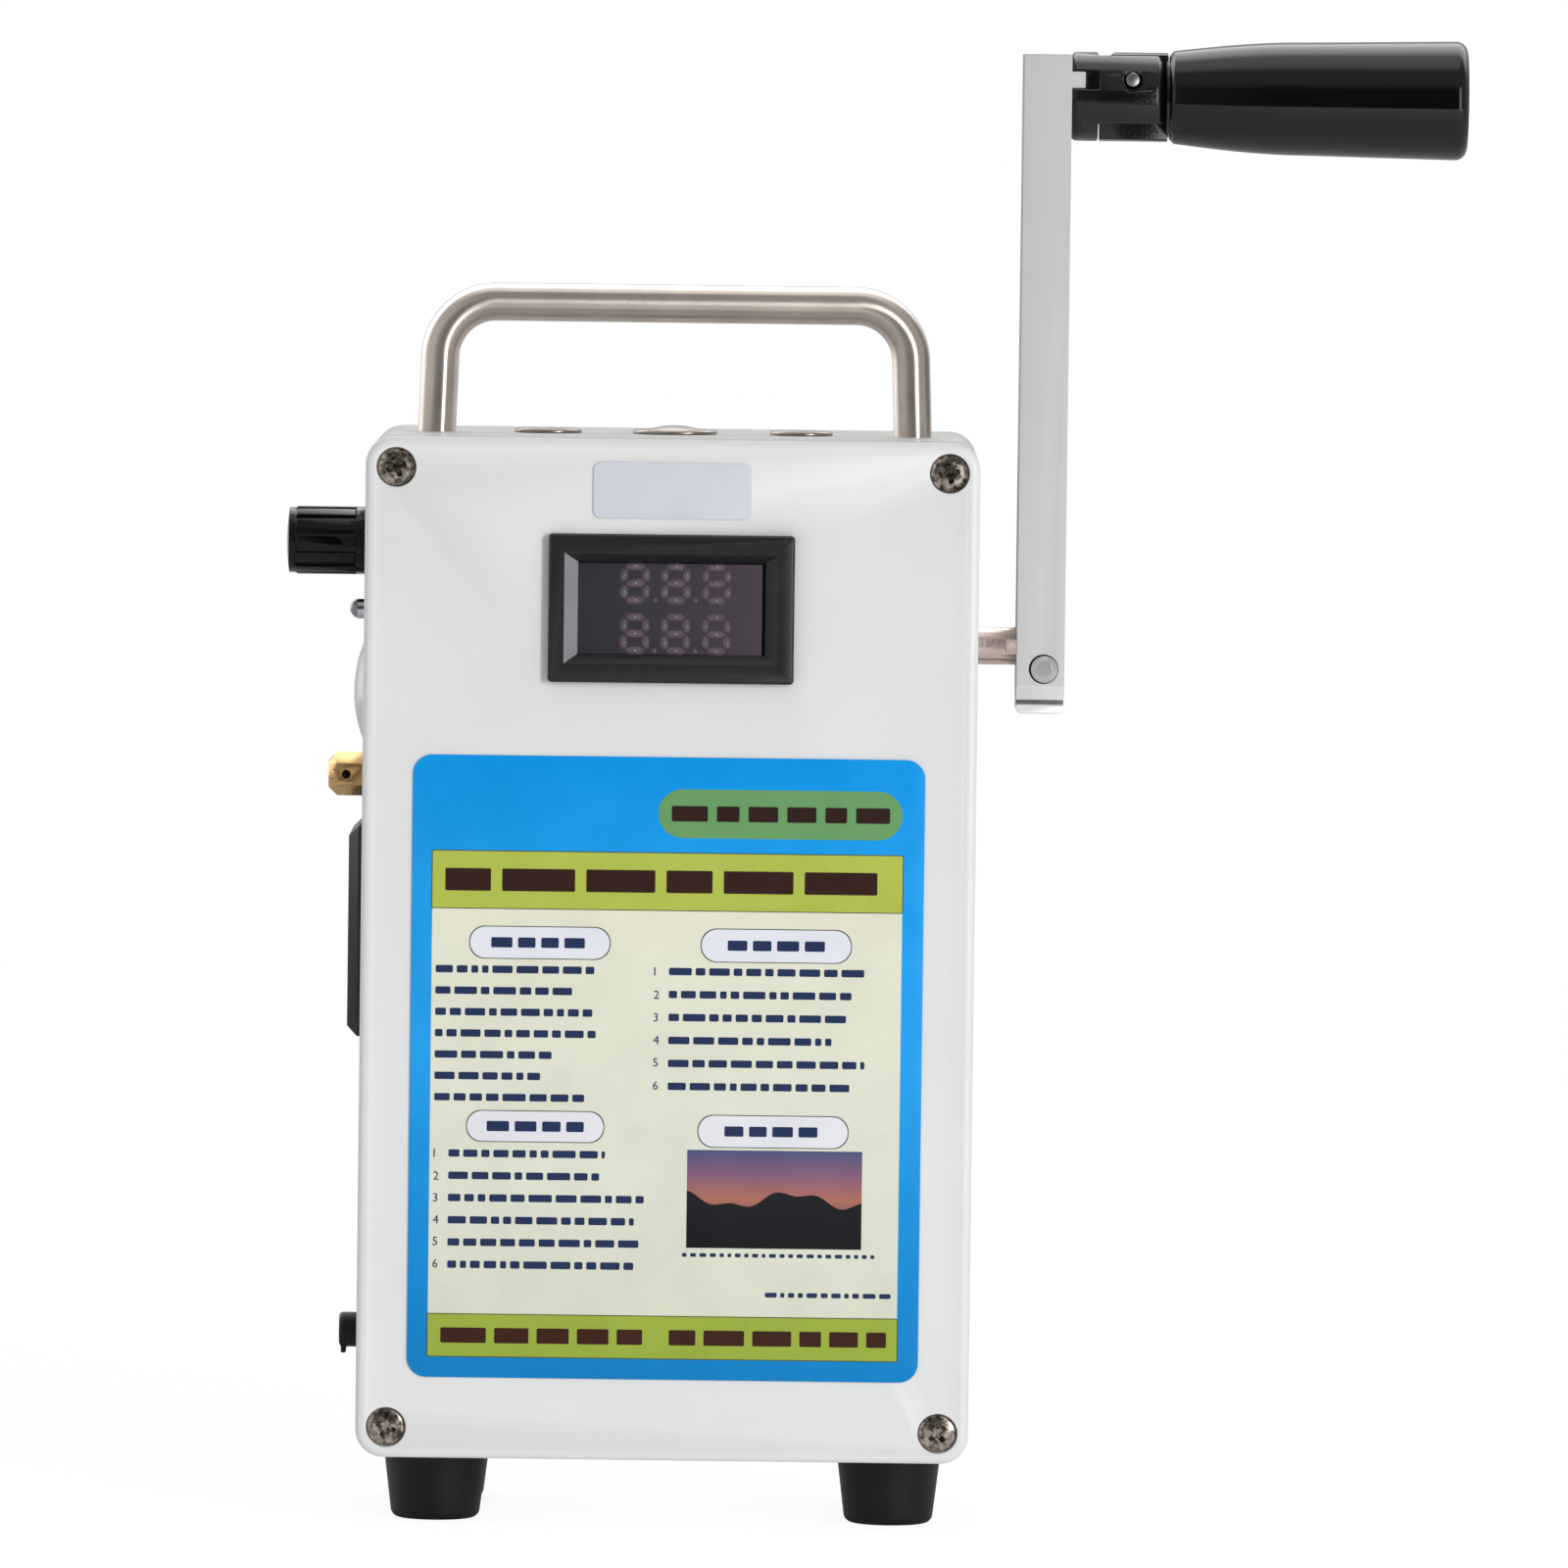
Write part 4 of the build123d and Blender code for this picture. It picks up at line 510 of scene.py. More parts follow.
def screwHead(values):
    # a dome whose height falls with the square of the radius, over a short cylinder, less a
    # cross of two wedges, which are a fifth longer over the dome and crossTaper as long at the
    # bottom, with half of that change in width; the head faces -Y and its rim is at zero
    radius, dome, rim = values["head"] / 2, values["dome"], values["rim"]
    out = np.linspace(0, radius - rim, 9)
    top = [(-dome * (1 - (r / radius) ** 2), r) for r in out]
    side = filleted([top[-1], (0.05, radius), (values["thickness"], radius)], [rim], 4)
    profile = top[:-1] + side.tolist() + [(values["thickness"], 0)]
    head = plainMesh("screwHead", [turned(profile, (0, 0, 0), "y", 64)])
    for upright in (False, True):
        loops = []
        for depth, share in ((-2 * dome, 1.2), (values["crossDepth"], values["crossTaper"])):
            length, width = values["crossLength"] * share, values["crossWidth"] * (0.45 + 0.55 * share)
            loop = roundedLoop(length, width, width * 0.3, 3)
            loops.append(facing(loop[:, ::-1] if upright else loop, depth))
        head = carved(head, plainMesh("wedge", [stacked(loops)]))
    return head


def makeLidScrews():
    # one head copied to the four corners, each turned about its own axis by cosine and sine
    low, high = boxOf("lid_screws")
    lidFront = boxOf("lid")[0][1]
    radius = lidScrew["head"] / 2
    recesses = {low[2] + radius: low[1] - lidFront, high[2] - radius: lidScrew["upperSunk"]}
    head = screwHead(lidScrew)
    points, faces = tripletsOf(head.vertices, "co"), [[list(face.vertices)] for face in head.polygons]
    turns = iter(lidScrew["turns"])
    heads = []
    for x in (low[0] + radius, high[0] - radius):
        for z, sunk in recesses.items():
            turn = math.radians(next(turns))
            cosine, sine = math.cos(turn), math.sin(turn)
            rotate = np.array([[cosine, 0, sine], [0, 1, 0], [-sine, 0, cosine]])
            heads.append((points @ rotate + [x, lidFront + sunk + lidScrew["dome"], z], faces))
    points, faces = joined(heads)
    mesh = meshOf("lidScrewHeads", toRow(points), faces)
    placePiece("lidScrewHeads", mesh, "wornNickel", "housing", ["lid_screws"], sharp=30)


makeLidScrews()
print("housing shells and lid screws")

foot = {
    "top": 20.6,         # diameters and heights, in millimetres
    "bottom": 17.2,
    "edge": 1.75,        # roundings of the lower and the upper rim
    "lip": 0.5,
    "counterbore": 9.0,
    "sole": 6.5,         # from the housing down to the bottom of the counterbore
    "bore": 4.2,
}


def makeFeet():
    # a tapered cup upside down: profile of (height, radius) from the screw hole round to the top
    low, high = boxOf("feet")
    bore, wide, lower, upper = [foot[part] / 2 for part in ("bore", "counterbore", "bottom", "top")]
    corners = [(-foot["sole"], bore), (-foot["sole"], wide), (low[2], wide), (low[2], lower),
               (high[2], upper), (high[2], bore), (-foot["sole"], bore)]
    profile = filleted(corners, [0.3, 0.4, foot["edge"], foot["lip"], 0], 8)
    cups = [turned(profile, (x, y, 0), "z", 96)
            for x in (low[0] + upper, high[0] - upper) for y in (low[1] + upper, high[1] - upper)]
    addPiece("rubberFeet", cups, "mouldedRubber", "housing", "black_rubber", ["feet"], sharp=50)


makeFeet()

carryRod = {
    "bend": 11.0,        # radius of the centre line in the bends
    "lean": 2.0,         # degrees that each leg leans inwards
    "sunk": 0.2,         # how far the ends go into the housing top
    "around": 48,        # faces round it
}


def makeCarryRod():
    # a circle carried along two legs and a bar joined by arcs: at each point of the path the
    # circle lies across it, so its points are the radius times (cosine, sine) on the two normals
    low, high = boxOf("carry_handle")
    radius = (high[1] - low[1]) / 2
    footZ, top = low[2] - carryRod["sunk"], high[2] - radius
    halfSpan = (high[0] - low[0]) / 2 - radius
    shoulder = halfSpan - (top - footZ) * math.tan(math.radians(carryRod["lean"]))
    corners = [(-halfSpan, footZ), (-shoulder, top), (shoulder, top), (halfSpan, footZ)]
    path = filleted(corners, [carryRod["bend"]] * 2, 24)
    ahead = np.gradient(path, axis=0)
    ahead /= np.linalg.norm(ahead, axis=1)[:, None]
    angle = np.linspace(0, 2 * math.pi, carryRod["around"] + 1)
    across = radius * np.cos(angle)
    x = path[:, :1] - ahead[:, 1:] * across
    z = path[:, 1:] + ahead[:, :1] * across
    y = np.repeat((radius * np.sin(angle))[None], len(path), 0)
    length = np.r_[0, np.cumsum(np.linalg.norm(np.diff(path, axis=0), axis=1))]
    uv = np.stack(np.broadcast_arrays(angle * radius, length[:, None]), -1).reshape(-1, 2) / 1000
    ring = np.arange(len(angle) - 1)
    ends = np.stack([ring, ring + (len(path) - 1) * len(angle)])
    tube = (np.stack([x, y, z], -1).reshape(-1, 3), [quads(len(path), len(angle), closed=False), ends])
    addPiece("carryRod", [tube], "groundStainless", "housing", "stainless", ["carry_handle"], uv=uv)


makeCarryRod()
print("feet and carry rod")

dressed("meterBezel", "meter_bezel", "satinBlackPlastic", 0.12)

digits = {
    "width": 5.9,        # of one digit, in millimetres
    "height": 8.2,
    "stroke": 1.6,
    "gap": 0.16,         # between two mitred segments
    "pitch": 7.95,       # from digit to digit
    "offset": 0.75,      # of the middle digit from the middle of the meter
    "rows": (4.95, -4.95),
    "dot": 0.9,
    "proud": 0.02,       # how far they stand before the window
    "sunk": 0.1,
}


def segment(length, stroke, upright):
    # a bar whose ends come in by half the stroke to a point, so that neighbours meet at 45 degrees
    half, tip = length / 2, stroke / 2
    flank = half - tip
    loop = np.array([(-half, 0), (-flank, tip), (flank, tip), (half, 0), (flank, -tip), (-flank, -tip)])
    return loop[:, ::-1] if upright else loop


def makeDigits():
    # seven segments for each of six digits and a dot after the first two, inlaid in the window
    low, high = boxOf("meter_window")
    middle, front = (low + high) / 2, low[1]
    stroke = digits["stroke"]
    width, height = digits["width"] - stroke, digits["height"] - stroke
    places = [(0, rise, False) for rise in (1, 0, -1)]
    places += [(side, rise, True) for side in (-1, 1) for rise in (-0.5, 0.5)]
    dot = roundedLoop(digits["dot"], digits["dot"], 0.3, 2)
    shapes = []
    for row in digits["rows"]:
        for column in (-1, 0, 1):
            x, z = middle[0] + digits["offset"] + column * digits["pitch"], middle[2] + row
            for across, up, upright in places:
                bar = segment((height / 2 if upright else width) - digits["gap"], stroke, upright)
                shapes.append((bar, (x + across * width / 2, z + up * height / 2)))
            if column < 1:
                shapes.append((dot, (x + digits["pitch"] / 2, z - height / 2)))
    depths = (front - digits["proud"], front + digits["sunk"])
    surfaces = [stacked([facing(loop, depth, place) for depth in depths]) for loop, place in shapes]
    addPiece("meterDigits", surfaces, "unlitSegments", "housing", "display", sharp=0)


makeDigits()

meterFrame = {
    "mouth": (41.8, 21.6),   # opening at the front of the frame, in millimetres
    "window": (36.6, 18.0),  # opening at the window
    "joint": 0.6,            # painted shade in the gap at the right of the window; the one on top is a third of it
    "gapShadeDepth": (0.04, 0.05),  # before and behind the window's face
    "film": (0.04, 0.03),    # of the painted highlight on the slope, before and behind the plastic
}


def makeMeterTrim():
    # the left slope of the frame gets a painted highlight: a pale plate from the mouth's corners to the
    # window's, pushed along its normal; black strips of painted shade lie at the right and top of the window
    frameFront = boxOf("meter_bezel")[0][1]
    low, high = boxOf("meter_window")
    middle, front = (low + high) / 2, low[1]
    mouth, window = meterFrame["mouth"], meterFrame["window"]
    left, inner = middle[0] - mouth[0] / 2, middle[0] - window[0] / 2
    slope = np.array([(left, frameFront, mouth[1] / 2), (inner, front, window[1] / 2),
                      (inner, front, -window[1] / 2), (left, frameFront, -mouth[1] / 2)])
    slope[:, 2] += middle[2]
    normal = np.array([front - frameFront, left - inner, 0])
    normal /= np.linalg.norm(normal)
    before, behind = meterFrame["film"]
    # painted highlight: a pale plate laid over the left slope of the frame
    slab = stacked([slope + normal * before, slope - normal * behind])
    addPiece("paintedLitSlope", [slab], "paintedSlopeHighlight", "housing", "black_plastic")
    # painted shade: black strips where the gap between window and frame lies in shade
    joint, (before, behind) = meterFrame["joint"], meterFrame["gapShadeDepth"]
    right = (middle[0] + window[0] / 2 - joint / 2, middle[2])
    top = (middle[0], middle[2] + window[1] / 2 - joint / 6)
    bars = [plate(width, height, 0.02, front - before, front + behind, place)
            for width, height, place in ((joint, window[1], right), (window[0], joint / 3, top))]
    addPiece("windowGapShade", bars, "glossBlackNylonAndShade", "housing", "black_plastic")


makeMeterTrim()
print("meter")

# printed front sheet, measured from its middle: across, up, width, height
sheet = {
    "corner": 3.75,
    "edge": 0.12,
    "layer": 0.03,       # each printed layer stands this far before the last
    "slogan": (21.8, 50.0, 47.7, 9.55),
    "title": (-0.1, 36.65, 91.8, 11.1),
    "panel": (-0.1, -8.75, 91.8, 79.7),
    "footer": (-0.1, -52.7, 91.8, 8.2),
    "headings": ((-24.9, 24.4, 27.3, 6.1), (21.3, 24.3, 29.2, 6.3),
                 (-25.4, -11.6, 26.7, 5.9), (21.1, -12.1, 29.2, 6.1)),
    "outline": 0.18,     # how far the dark rim of a bar or pill shows round it
    "picture": (21.5, -25.4, 34.2, 19.2),
    "spread": 61,        # the inks change colour this far below and above the middle
}
# bars in rows stand for words: the usual sizes of a row, in millimetres
words = {
    "height": 1.45,
    "widths": (1.2, 4.6),
    "gap": 0.75,
    "shortest": 0.6,     # a shorter rest at the end of a row is dropped
    "indent": 2.9,       # of a row with a number before it
    "figure": 1.7,       # height of that number
}
# blocks of rows: left end, first row, step, whether numbered, and the length of each row
printRows = (
    (-45.2, 19.1, 4.18, False, (31, 26.7, 30.7, 32.6, 23, 21.5, 30)),
    (-2.5, 19.1, 4.5, True, (41.4, 38.6, 38, 34.8, 41.3, 38.4)),
    (-45.2, -17.0, 4.36, True, (33.5, 32.4, 41.2, 39.3, 40.4, 39.3)),
)
# single rows: layer, left end, place up, length, height, seed, widths of the bars, gap
captionRows = (
    (2, 3.6, -36.4, 37.6, 0.75, 71, (0.7, 1.5), 0.7),
    (2, 19.9, -44.1, 24.6, 0.95, 72, (0.8, 2.6), 0.7),
)
boldRows = (
    (4, -43.5, 36.65, 86.8, 4.4, 91, (6.5, 15), 2.2),
    (4, 0.6, 50.0, 42.6, 3.0, 92, (4, 9), 1.8),
    (4, -43.5, -52.7, 39.5, 3.0, 93, (4, 9), 1.6),
    (4, 1.2, -52.7, 42.5, 3.0, 94, (4, 9), 1.6),
)
sheetLow, sheetHigh = boxOf("front_sheet")
sheetFront = sheetLow[1]
sheetX, sheetZ = ((sheetLow + sheetHigh) / 2)[[0, 2]]


def printed(area, layer, corner=0.12, grow=0.0):
    # a thin closed plate for one printed area, layer by layer nearer to the front
    across, up, width, height = area
    depth = sheetFront - layer * sheet["layer"]
    return plate(width + 2 * grow, height + 2 * grow, corner, depth, depth + 2 * sheet["layer"],
                 (sheetX + across, sheetZ + up))


def addPrint(name, surfaces, finish, **more):
    addPiece(name, surfaces, finish, "housing", "printed_sheet", **more)


def makeSheet():
    # the film, and the areas printed on it; a pill's radius is a little under half of its height
    face = plate(*(sheetHigh - sheetLow)[[0, 2]], sheet["corner"], sheetFront, sheetHigh[1],
                 (sheetX, sheetZ), sheet["edge"])
    addPrint("frontSheet", [face], "blueFilm", replaces=["front_sheet"])
    addPrint("sloganPatch", [printed(sheet["slogan"], 1, sheet["slogan"][3] / 2.01)], "greenFilm")
    addPrint("textPanel", [printed(sheet["panel"], 1)], "creamFilm")
    rims = [printed(sheet[bar], 2, 0.4, sheet["outline"]) for bar in ("title", "footer")]
    rims += [printed(area, 2, area[3] / 2.01, sheet["outline"]) for area in sheet["headings"]]
    addPrint("printedOutlines", rims, "printedOutline")
    addPrint("oliveBars", [printed(sheet[bar], 3, 0.3) for bar in ("title", "footer")], "oliveFilm")
    addPrint("headingPills", [printed(area, 3, area[3] / 2.02) for area in sheet["headings"]], "paleFilm")


def dashes(layer, left, up, length, height, seed, widths=words["widths"], gap=words["gap"]):
    # short bars of seeded widths that fill one row, where the last one is cut to the row's length
    draw = np.random.default_rng(seed)
    sizes = draw.uniform(*widths, int(length / widths[0]) + 2)
    starts = np.r_[0, np.cumsum(sizes + gap)[:-1]]
    ends = np.minimum(starts + sizes, length)
    keep = ends - starts > words["shortest"]
    return [printed(((a + b) / 2 + left, up, b - a, height), layer, min(0.3, height / 3))
            for a, b in zip(starts[keep], ends[keep])]


def numeral(value, height, left, up, layer):
    # a plain figure in Blender's own font, whose size is 1.4 times its figures' height, thickened to
    # a closed plate and stood up at its place
    curve = bpy.data.curves.new("numeral", "FONT")
    curve.body = str(value)
    curve.size = height * 1.4
    curve.extrude = sheet["layer"]
    curve.resolution_u = 2
    mesh = settled(placed("numeral", curve))
    points, faces = tripletsOf(mesh.vertices, "co"), [[list(face.vertices)] for face in mesh.polygons]
    across, rise, out = (points - [points[:, 0].min(), points[:, 1].mean(), 0]).T
    depth = sheetFront - layer * sheet["layer"] - out
    return np.stack([across + sheetX + left, depth, rise + sheetZ + up], -1), faces


def makePrint():
    # every row has its own seed, so a change to one leaves the others as they are
    rows, figures = [], []
    for group, (left, top, step, numbered, lengths) in enumerate(printRows):
        for line, length in enumerate(lengths):
            up, indent = top - step * line, words["indent"] if numbered else 0
            seed = 10 * group + line
            rows += dashes(2, left + indent, up, length - indent, words["height"], seed)
            if numbered:
                figures.append(numeral(line + 1, words["figure"], left, up, 2))
    for row in captionRows:
        rows += dashes(*row)
    for number, heading in enumerate(sheet["headings"]):
        rows += dashes(4, heading[0] - 9.5, heading[1], 19, 2.0, 80 + number, (3.4, 4.4), 1.1)
    addPrint("printedRows", rows, "navyInk")
    addPrint("rowNumbers", figures, "navyInk", sharp=30)
    addPrint("boldPrint", [bar for row in boldRows for bar in dashes(*row)], "maroonInk")


def makePicture():
    # a generic dusk: a soft gradient behind rounded hills, whose outline is a sum of two cosines of
    # the place across: one and a half waves, a little shifted, and four lower ones
    across, up, width, height = sheet["picture"]
    addPrint("dusk", [printed(sheet["picture"], 3, 0.15)], "duskSky")
    t = np.linspace(0, 1, 49)
    turn = 2 * math.pi
    ridge = height * (0.5 + 0.07 * np.cos(turn * (1.5 * t + 0.1)) + 0.03 * np.cos(turn * 4 * t))
    line = np.stack([(t - 0.5) * width, ridge - height / 2], -1)
    loop = np.r_[line, [(width / 2, -height / 2), (-width / 2, -height / 2)]]
    depth, place = sheetFront - 4 * sheet["layer"], (sheetX + across, sheetZ + up)
    hills = stacked([facing(loop, depth, place), facing(loop, depth + sheet["layer"], place)])
    addPrint("duskHills", [hills], "duskHill")


def makeInks():
    # each has its colours from bottom to top; the films are smooth, and the inks on them duller
    whole = [toRow((0, 0, sheetZ + side * sheet["spread"]))[2] for side in (-1, 1)]
    makeFilm("blueFilm", ["#0080c5", "#0c90dc", "#1fa0ee", "#1c9fee", "#0097e8"], whole)
    makeFilm("greenFilm", ["#669a62", "#6b9f66"], whole)
    makeFilm("creamFilm", ["#d7dac6", "#dfe2d1", "#e2e3d0", "#ebe6d0"], whole)
    makeFilm("oliveFilm", ["#98ad40", "#aebd4c", "#b3c052"], whole)
    makeFilm("paleFilm", ["#dfe1ea", "#e7e8ee", "#dfe5ef"], whole)
    up, height = sheet["picture"][1::2]
    view = [toRow((0, 0, sheetZ + up + side * height / 2))[2] for side in (-1, 1)]
    makeFilm("duskSky", ["#23344d", "#2e4a6b", "#b0705e", "#86607a", "#4c5580"], view, rough=0.3)
    makeFilm("duskHill", ["#17181c", "#1d1e23", "#24272d"], view, rough=0.3)
    makeFilm("navyInk", ["#23345a", "#1f3057"], whole, rough=0.35)
    makeFilm("maroonInk", ["#3f2014", "#3a1a10", "#2e1a16"], whole, rough=0.35)
    makeFilm("printedOutline", ["#4c5230", "#474c42"], whole, rough=0.35)


makeInks()
makeSheet()
makePrint()
makePicture()

namePlate = {
    "corner": 1.6,
    "edge": 0.1,
}


def makeNamePlate():
    # a bare label whose corners are rounded and whose edge is eased
    low, high = boxOf("name_plate")
    label = plate(*(high - low)[[0, 2]], namePlate["corner"], low[1], high[1],
                  ((low + high) / 2)[[0, 2]], namePlate["edge"])
    addPiece("namePlate", [label], "paleLabel", "housing", "plain_label", ["name_plate"])


makeNamePlate()
print("front sheet and name plate")

grip = {
    "rootChamfer": 0.9,  # all in millimetres
    "rootRadius": 9.2,
    "swellAt": 27.0,     # from the root
    "swellRadius": 11.2,
    "endRounding": 2.4,
}


def makeGrip():
    # the profile swells by a sine from the root to swellAt, then widens evenly to its rounded end
    low, high = boxOf("grip")
    start, end, radius = low[0], high[0], (high[2] - low[2]) / 2
    middle = (low + high) / 2
    chamfer, narrow, wide = grip["rootChamfer"], grip["rootRadius"], grip["swellRadius"]
    t = np.linspace(0, 1, 25)[:, None]
    swell = narrow + (wide - narrow) * np.sin(t * math.pi / 2)
    body = np.hstack([start + chamfer + t * (grip["swellAt"] - chamfer), swell])
    tail = filleted([body[-1], (end, radius), (end, 0)], [grip["endRounding"]], 10)
    root = filleted([(start, 0), (start, narrow - chamfer), body[0], body[1]], [0.3, 0.4], 4)
    handle = turned(np.concatenate([root[:-1], body[1:-1], tail]), (0, middle[1], middle[2]), "x", 128)
    addPiece("handGrip", [handle], "polishedBakelite", "hand_grip", "bakelite", ["grip"], sharp=40)


makeGrip()

arm = {
    "milledBelow": 7.2,  # where the milled end begins, in millimetres under the crank's axis
    "groove": 0.2,       # its floor is this near to the deepest milled face
}


def makeArm():
    # faces of the milled end that look to the front get their own finish, and the floor of the
    # groove, which is flat and lies deepest, a third one of painted shade
    piece = dressed("crankArm", "crank_arm", "millAluminium", 0.22)
    low, high = boxOf("crank_shaft")
    start = toRow((0, 0, (low[2] + high[2]) / 2 - arm["milledBelow"]))[2]
    faces = piece.data.polygons
    depth, height = tripletsOf(faces, "center")[:, 1:].T
    towards = -tripletsOf(faces, "normal")[:, 1]
    milled = (height < start) & (towards > 0.3)
    floor = (height < start) & (towards > 0.9) & (depth > depth[milled].max() - arm["groove"] / 1000)
    piece.data.materials.append(finishes["milledAluminium"])
    piece.data.materials.append(finishes["grooveShade"])
    faces.foreach_set("material_index", milled.astype(np.int32) + floor)


lockScrew = {
    "lowered": 0.15,     # millimetres from the front of the CAD head back to the flat top
    "rim": 0.1,          # height of the steep rim under the bevel
    "flat": 0.6,         # radii as shares of the head's
    "bevel": 0.94,
    "shank": 0.5,
    # radii of a ring of painted shade in the gap round the head
    "joint": (0.9, 1.08),
    "gapShadeDepth": (0.03, 0.04),   # before and behind the arm's face
    "gapShadeShift": (-0.16, 0.04),  # right and up, so that the painted shade shows on the left
}


def makeLockScrew():
    # a flat-topped head with a wide bevel on a shank through the arm, and a ring of painted shade on its
    # left
    low, high = boxOf("arm_lock_screw")
    face, top = boxOf("crank_arm")[0][1], low[1] + lockScrew["lowered"]
    radius, middle = (high[0] - low[0]) / 2, (low + high) / 2
    flat, bevel, shank = [lockScrew[part] * radius for part in ("flat", "bevel", "shank")]
    head = [(top, 0), (top, flat), (face - lockScrew["rim"], bevel), (face, radius),
            (face, shank), (high[1], shank), (high[1], 0)]
    profile = filleted(head, [0.12, 0.08, 0, 0, 0.1], 3)
    screw = turned(profile, (middle[0], 0, middle[2]), "y", 64)
    addPiece("armLockScrew", [screw], "zincPlate", "crank", "nickel_steel", ["arm_lock_screw"])
    # painted shade: a dark ring where the gap round the head lies in shade
    (inner, outer), (before, behind) = lockScrew["joint"], lockScrew["gapShadeDepth"]
    right, up = lockScrew["gapShadeShift"]
    ring = band(face - before, face + behind, inner * radius, outer * radius)
    joint = turned(ring, (middle[0] + right, 0, middle[2] + up), "y", 64)
    addPiece("screwGapShade", [joint], "blackenedScrewAndShade", "crank", "nickel_steel")


gripWasher = {
    "start": 0.6,        # both ends as millimetres before the grip's root
    "end": 0.08,
    "inner": 1.0,        # radii
    "outer": 7.9,
}


def makeGripWasher():
    # a thin black washer between the tongue and the grip, which folds with the tongue
    low, high = boxOf("grip")
    middle, root = (low + high) / 2, low[0]
    start, end = root - gripWasher["start"], root - gripWasher["end"]
    ring = band(start, end, gripWasher["inner"], gripWasher["outer"])
    washer = turned(ring, (0, middle[1], middle[2]), "x", 64)
    addPiece("gripWasher", [washer], "blackOxide", "handle", "black_oxide")


dressed("crankShaft", "crank_shaft", "groundSteel", 0.12)
makeArm()
makeLockScrew()
dressed("knuckle", "handle_knuckle", "blackOxide", 0.35)
dressed("foldPin", "fold_pin", "gearSteel", 0.2)
dressed("foldTongue", "fold_tongue", "blackOxide", 0.15)
makeGripWasher()
print("crank and handle")

# piece, CAD node, finish, and how wide its edges are eased in millimetres
fittings = (
    ("controlKnob", "control_knob", "glossBlackNylonAndShade", 0.15),
    ("earthPost", "earth_post", "turnedBrass", 0.15),
    ("earthScrew", "earth_screw", "blackenedScrewAndShade", 0.08),
    ("outletFace", "ac_outlet", "satinBlackPlastic", 0.2),
    ("chargePlug", "charge_plug", "mouldedRubber", 0.3),
    ("buttonBodies", "button_bodies", "spunStainless", 0.1),
    ("lampCover", "lamp_lens", "opalPolycarbonate", 0.2),
)
for fitting in fittings:
    dressed(*fitting)
print("side fittings and buttons")

# What a ray sees depends on its kind. The camera sees white, and matt surfaces get half of it. A
# mirror sees a studio: near the horizon it is black in front, grey at both sides and white at the
# left back, and higher up it is dim in front and white behind.
studio = {
    # brightness by azimuth in turns: 0 is behind, 0.25 at the left, 0.5 in front, 0.75 at the right
    "ring": ((0.0, 0.6), (0.07, 0.6), (0.1, 2.0), (0.2, 2.0), (0.24, 0.75), (0.38, 0.72), (0.42, 0.3),
             (0.49, 0.07), (0.53, 0.07), (0.66, 0.4), (0.9, 0.8), (1.0, 0.6)),
    "sky": (0.38, 3.0),       # brightness where it is dim and where it is lit
    # each part comes in between these two components of a direction, upwards or to the back
    "skyStarts": (0.3, 0.62),
    "litBehind": (-0.05, 0.4),
    "dimStripe": (0.82, 0.92),    # straight behind, which leaves a thin outline on rods and grips
    "litOverhead": (0.85, 0.97),
    "stripeShare": 0.85,
    "overheadShare": 0.35,
    "matt": 0.5,
}


def makeWorld():
    world = bpy.data.worlds.new("studio")
    bpy.context.scene.world = world
    world.use_nodes = True
    tree = world.node_tree
    rays = addNode(tree, "LightPath").outputs
    direction = addNode(tree, "TexCoord").outputs["Generated"]
    split = addNode(tree, "SeparateXYZ", {0: direction}).outputs

    def step(value, limits):
        # from 0 to 1 between two limits, eased at both
        return addNode(tree, "MapRange", {0: value, 1: limits[0], 2: limits[1]},
                       interpolation_type="SMOOTHSTEP")

    def maths(operation, one, two):
        return addNode(tree, "Math", {0: one, 1: two}, operation=operation)

    angle = maths("ARCTAN2", split["X"], maths("MULTIPLY", split["Y"], -1.0))
    ring = addNode(tree, "ValToRGB", {0: addNode(tree, "MapRange", {0: angle, 1: -math.pi, 2: math.pi})})
    setStops(ring, [(position, (level, level, level, 1)) for position, level in studio["ring"]])
    stripe = maths("MULTIPLY", step(split["Y"], studio["dimStripe"]), studio["stripeShare"])
    behind = maths("SUBTRACT", step(split["Y"], studio["litBehind"]), stripe)
    overhead = maths("MULTIPLY", step(split["Z"], studio["litOverhead"]), studio["overheadShare"])
    dim, lit = studio["sky"]
    sky = addNode(tree, "MapRange", {0: maths("MAXIMUM", behind, overhead), 3: dim, 4: lit})
    mirror = addNode(tree, "Mix", {0: step(split["Z"], studio["skyStarts"]), 2: ring, 3: sky})
    glossy = maths("MULTIPLY", rays["Is Glossy Ray"], mirror)
    plain = maths("ADD", rays["Is Camera Ray"], rays["Is Transmission Ray"])
    soft = maths("MULTIPLY", rays["Is Diffuse Ray"], studio["matt"])
    strength = maths("ADD", maths("ADD", plain, glossy), soft)
    connect(tree, tree.nodes["Background"], {"Color": (1, 1, 1, 1), "Strength": strength})


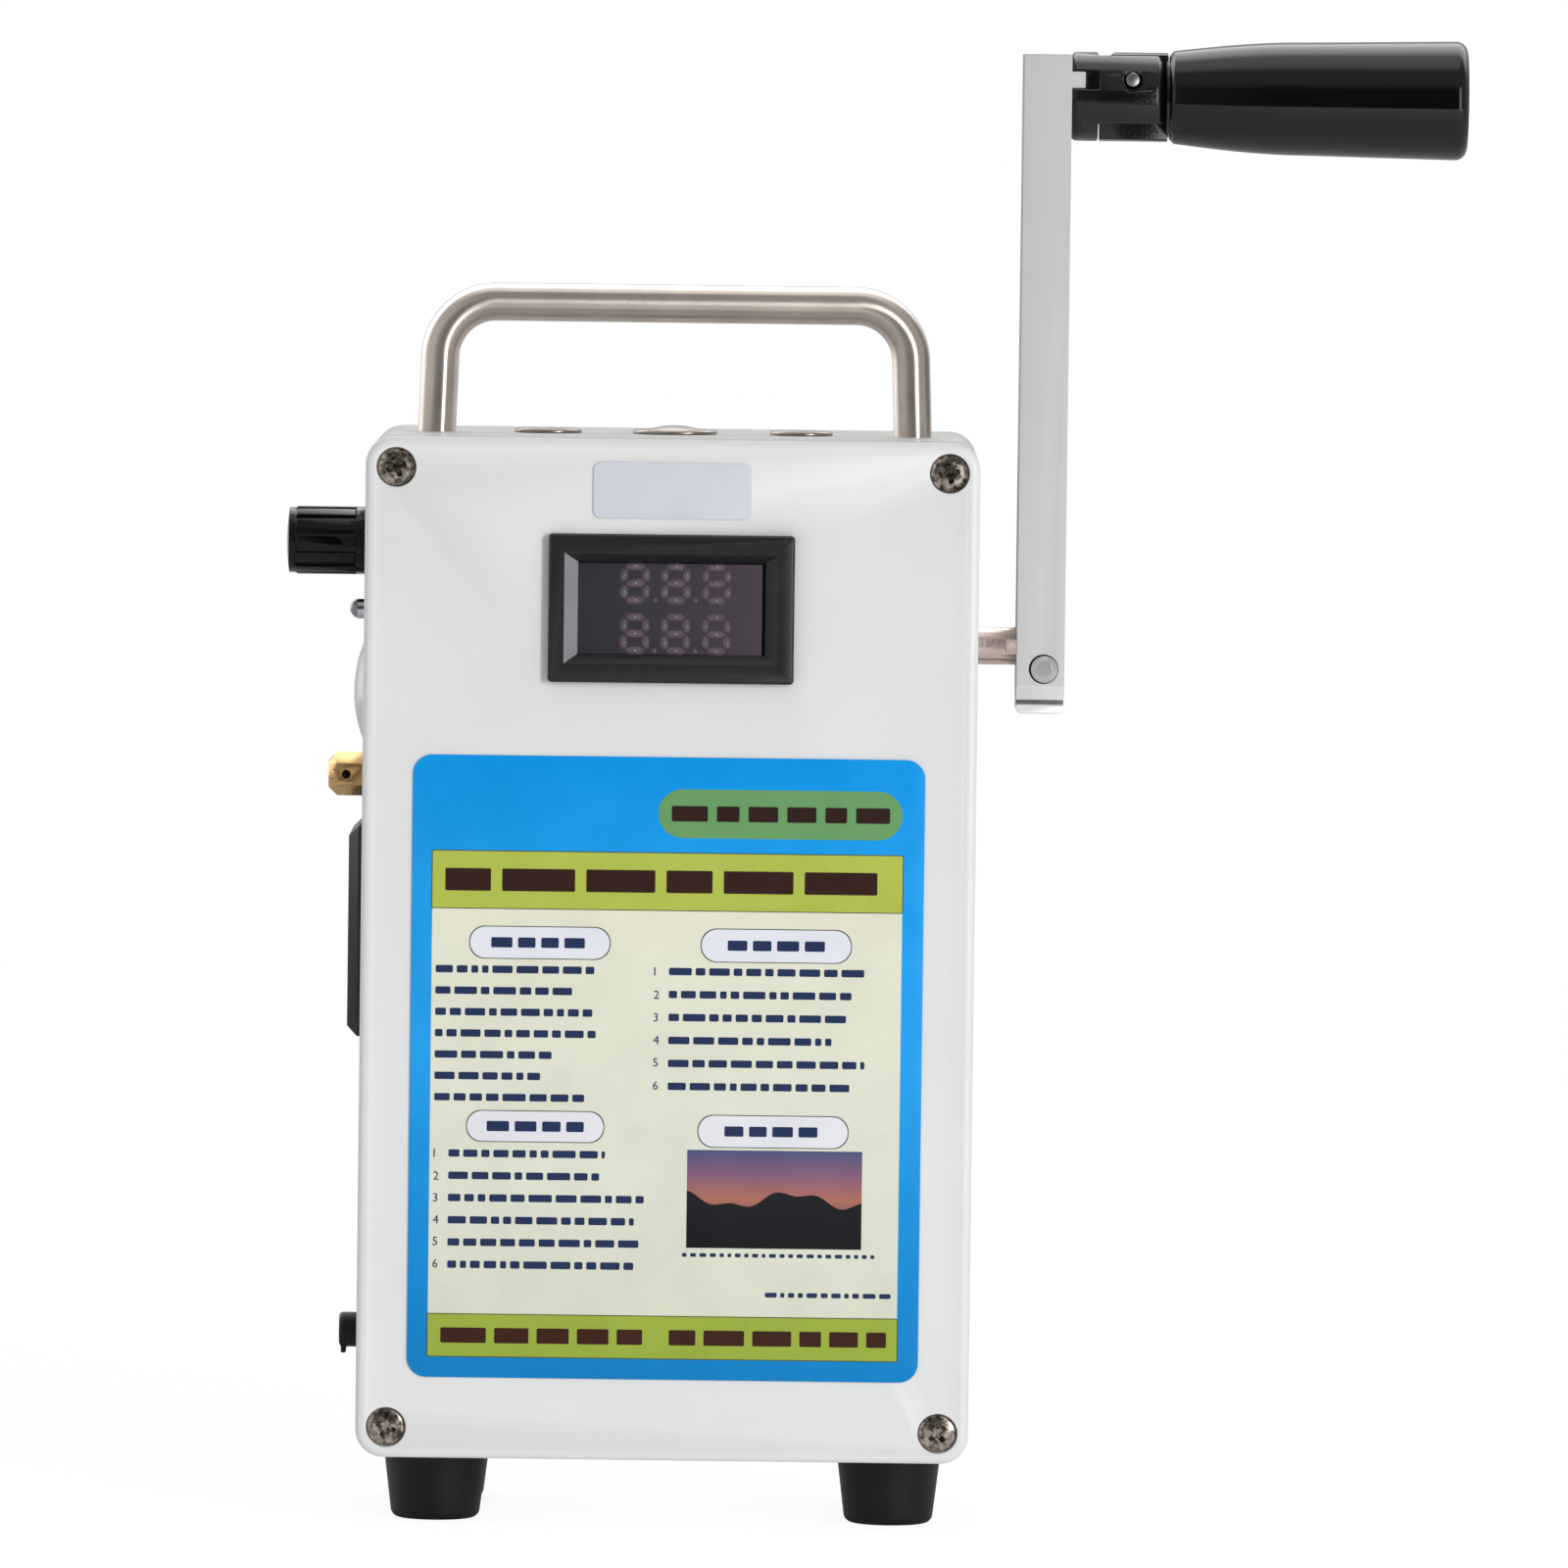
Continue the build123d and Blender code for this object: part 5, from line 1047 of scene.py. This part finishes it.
def softLight(name, azimuth, elevation, width, height, radiance, distance=1.5):
    # a soft box that faces a point in the housing; its power is radiance times pi times its area
    turn, rise = math.radians(azimuth), math.radians(elevation)
    aim = Vector(toRow((0, 0, 120)))
    towards = Vector((math.sin(turn) * math.cos(rise), -math.cos(turn) * math.cos(rise), math.sin(rise)))
    data = bpy.data.lights.new(name, "AREA")
    data.shape, data.size, data.size_y = "RECTANGLE", width, height
    data.energy = radiance * math.pi * width * height
    tilt = towards.to_track_quat("Z", "Y").to_matrix().to_4x4()
    placed(name, data).matrix_world = Matrix.Translation(aim + towards * distance) @ tilt


paper = {
    "half": 1.6,         # metres to either side and to the back
    "front": -1.0,
    "gap": 0.05,         # under the feet, in millimetres
    "glow": 1.12,
    "seenGlow": 0.8,     # shares of it that the camera sees and that matt surfaces get
    "givenGlow": 0.4,
}


def makeFloor():
    # Pale paper. Towards the camera it glows nearly white, so that only a faint shadow stays on it.
    material, tree, shader = blankMaterial("paleSweep")
    place = addNode(tree, "TexCoord").outputs["Object"]
    cloud = addNode(tree, "TexNoise", {"Vector": place, "Scale": 3})
    grey = addNode(tree, "MapRange", {0: cloud, 3: 0.88, 4: 0.92})
    connect(tree, shader, {"Base Color": grey, "Roughness": 0.9})
    glow = addNode(tree, "Emission", {"Color": (1, 1, 1, 1), "Strength": paper["glow"]})
    rays = addNode(tree, "LightPath").outputs
    seen = addNode(tree, "Math", {0: rays["Is Camera Ray"], 1: paper["seenGlow"]}, operation="MULTIPLY")
    share = addNode(tree, "Math", {0: rays["Is Diffuse Ray"], 1: paper["givenGlow"], 2: seen},
                    operation="MULTIPLY_ADD")
    both = addNode(tree, "MixShader", {0: share, 1: shader, 2: glow})
    connect(tree, tree.nodes["Material Output"], {"Surface": both})
    soles = boxOf("feet")[0][2]
    half, front, base = paper["half"], paper["front"], toRow((0, 0, soles - paper["gap"]))[2]
    corners = [(-half, front, base), (half, front, base), (half, half, base), (-half, half, base)]
    mesh = meshOf("floor", corners, [(0, 1, 2, 3)])
    mesh.materials.append(material)
    floor = placed("floor", mesh)


makeWorld()
# one strip at the right front: a broad part that models the forms, and a core for glints
softLight("keyStrip", 33, 8, 0.55, 1.15, 2.0)
softLight("keyCore", 33, 8, 0.11, 0.6, 34)
makeFloor()
bpy.context.scene.view_settings.view_transform = "Standard"
print("world, light and floor")
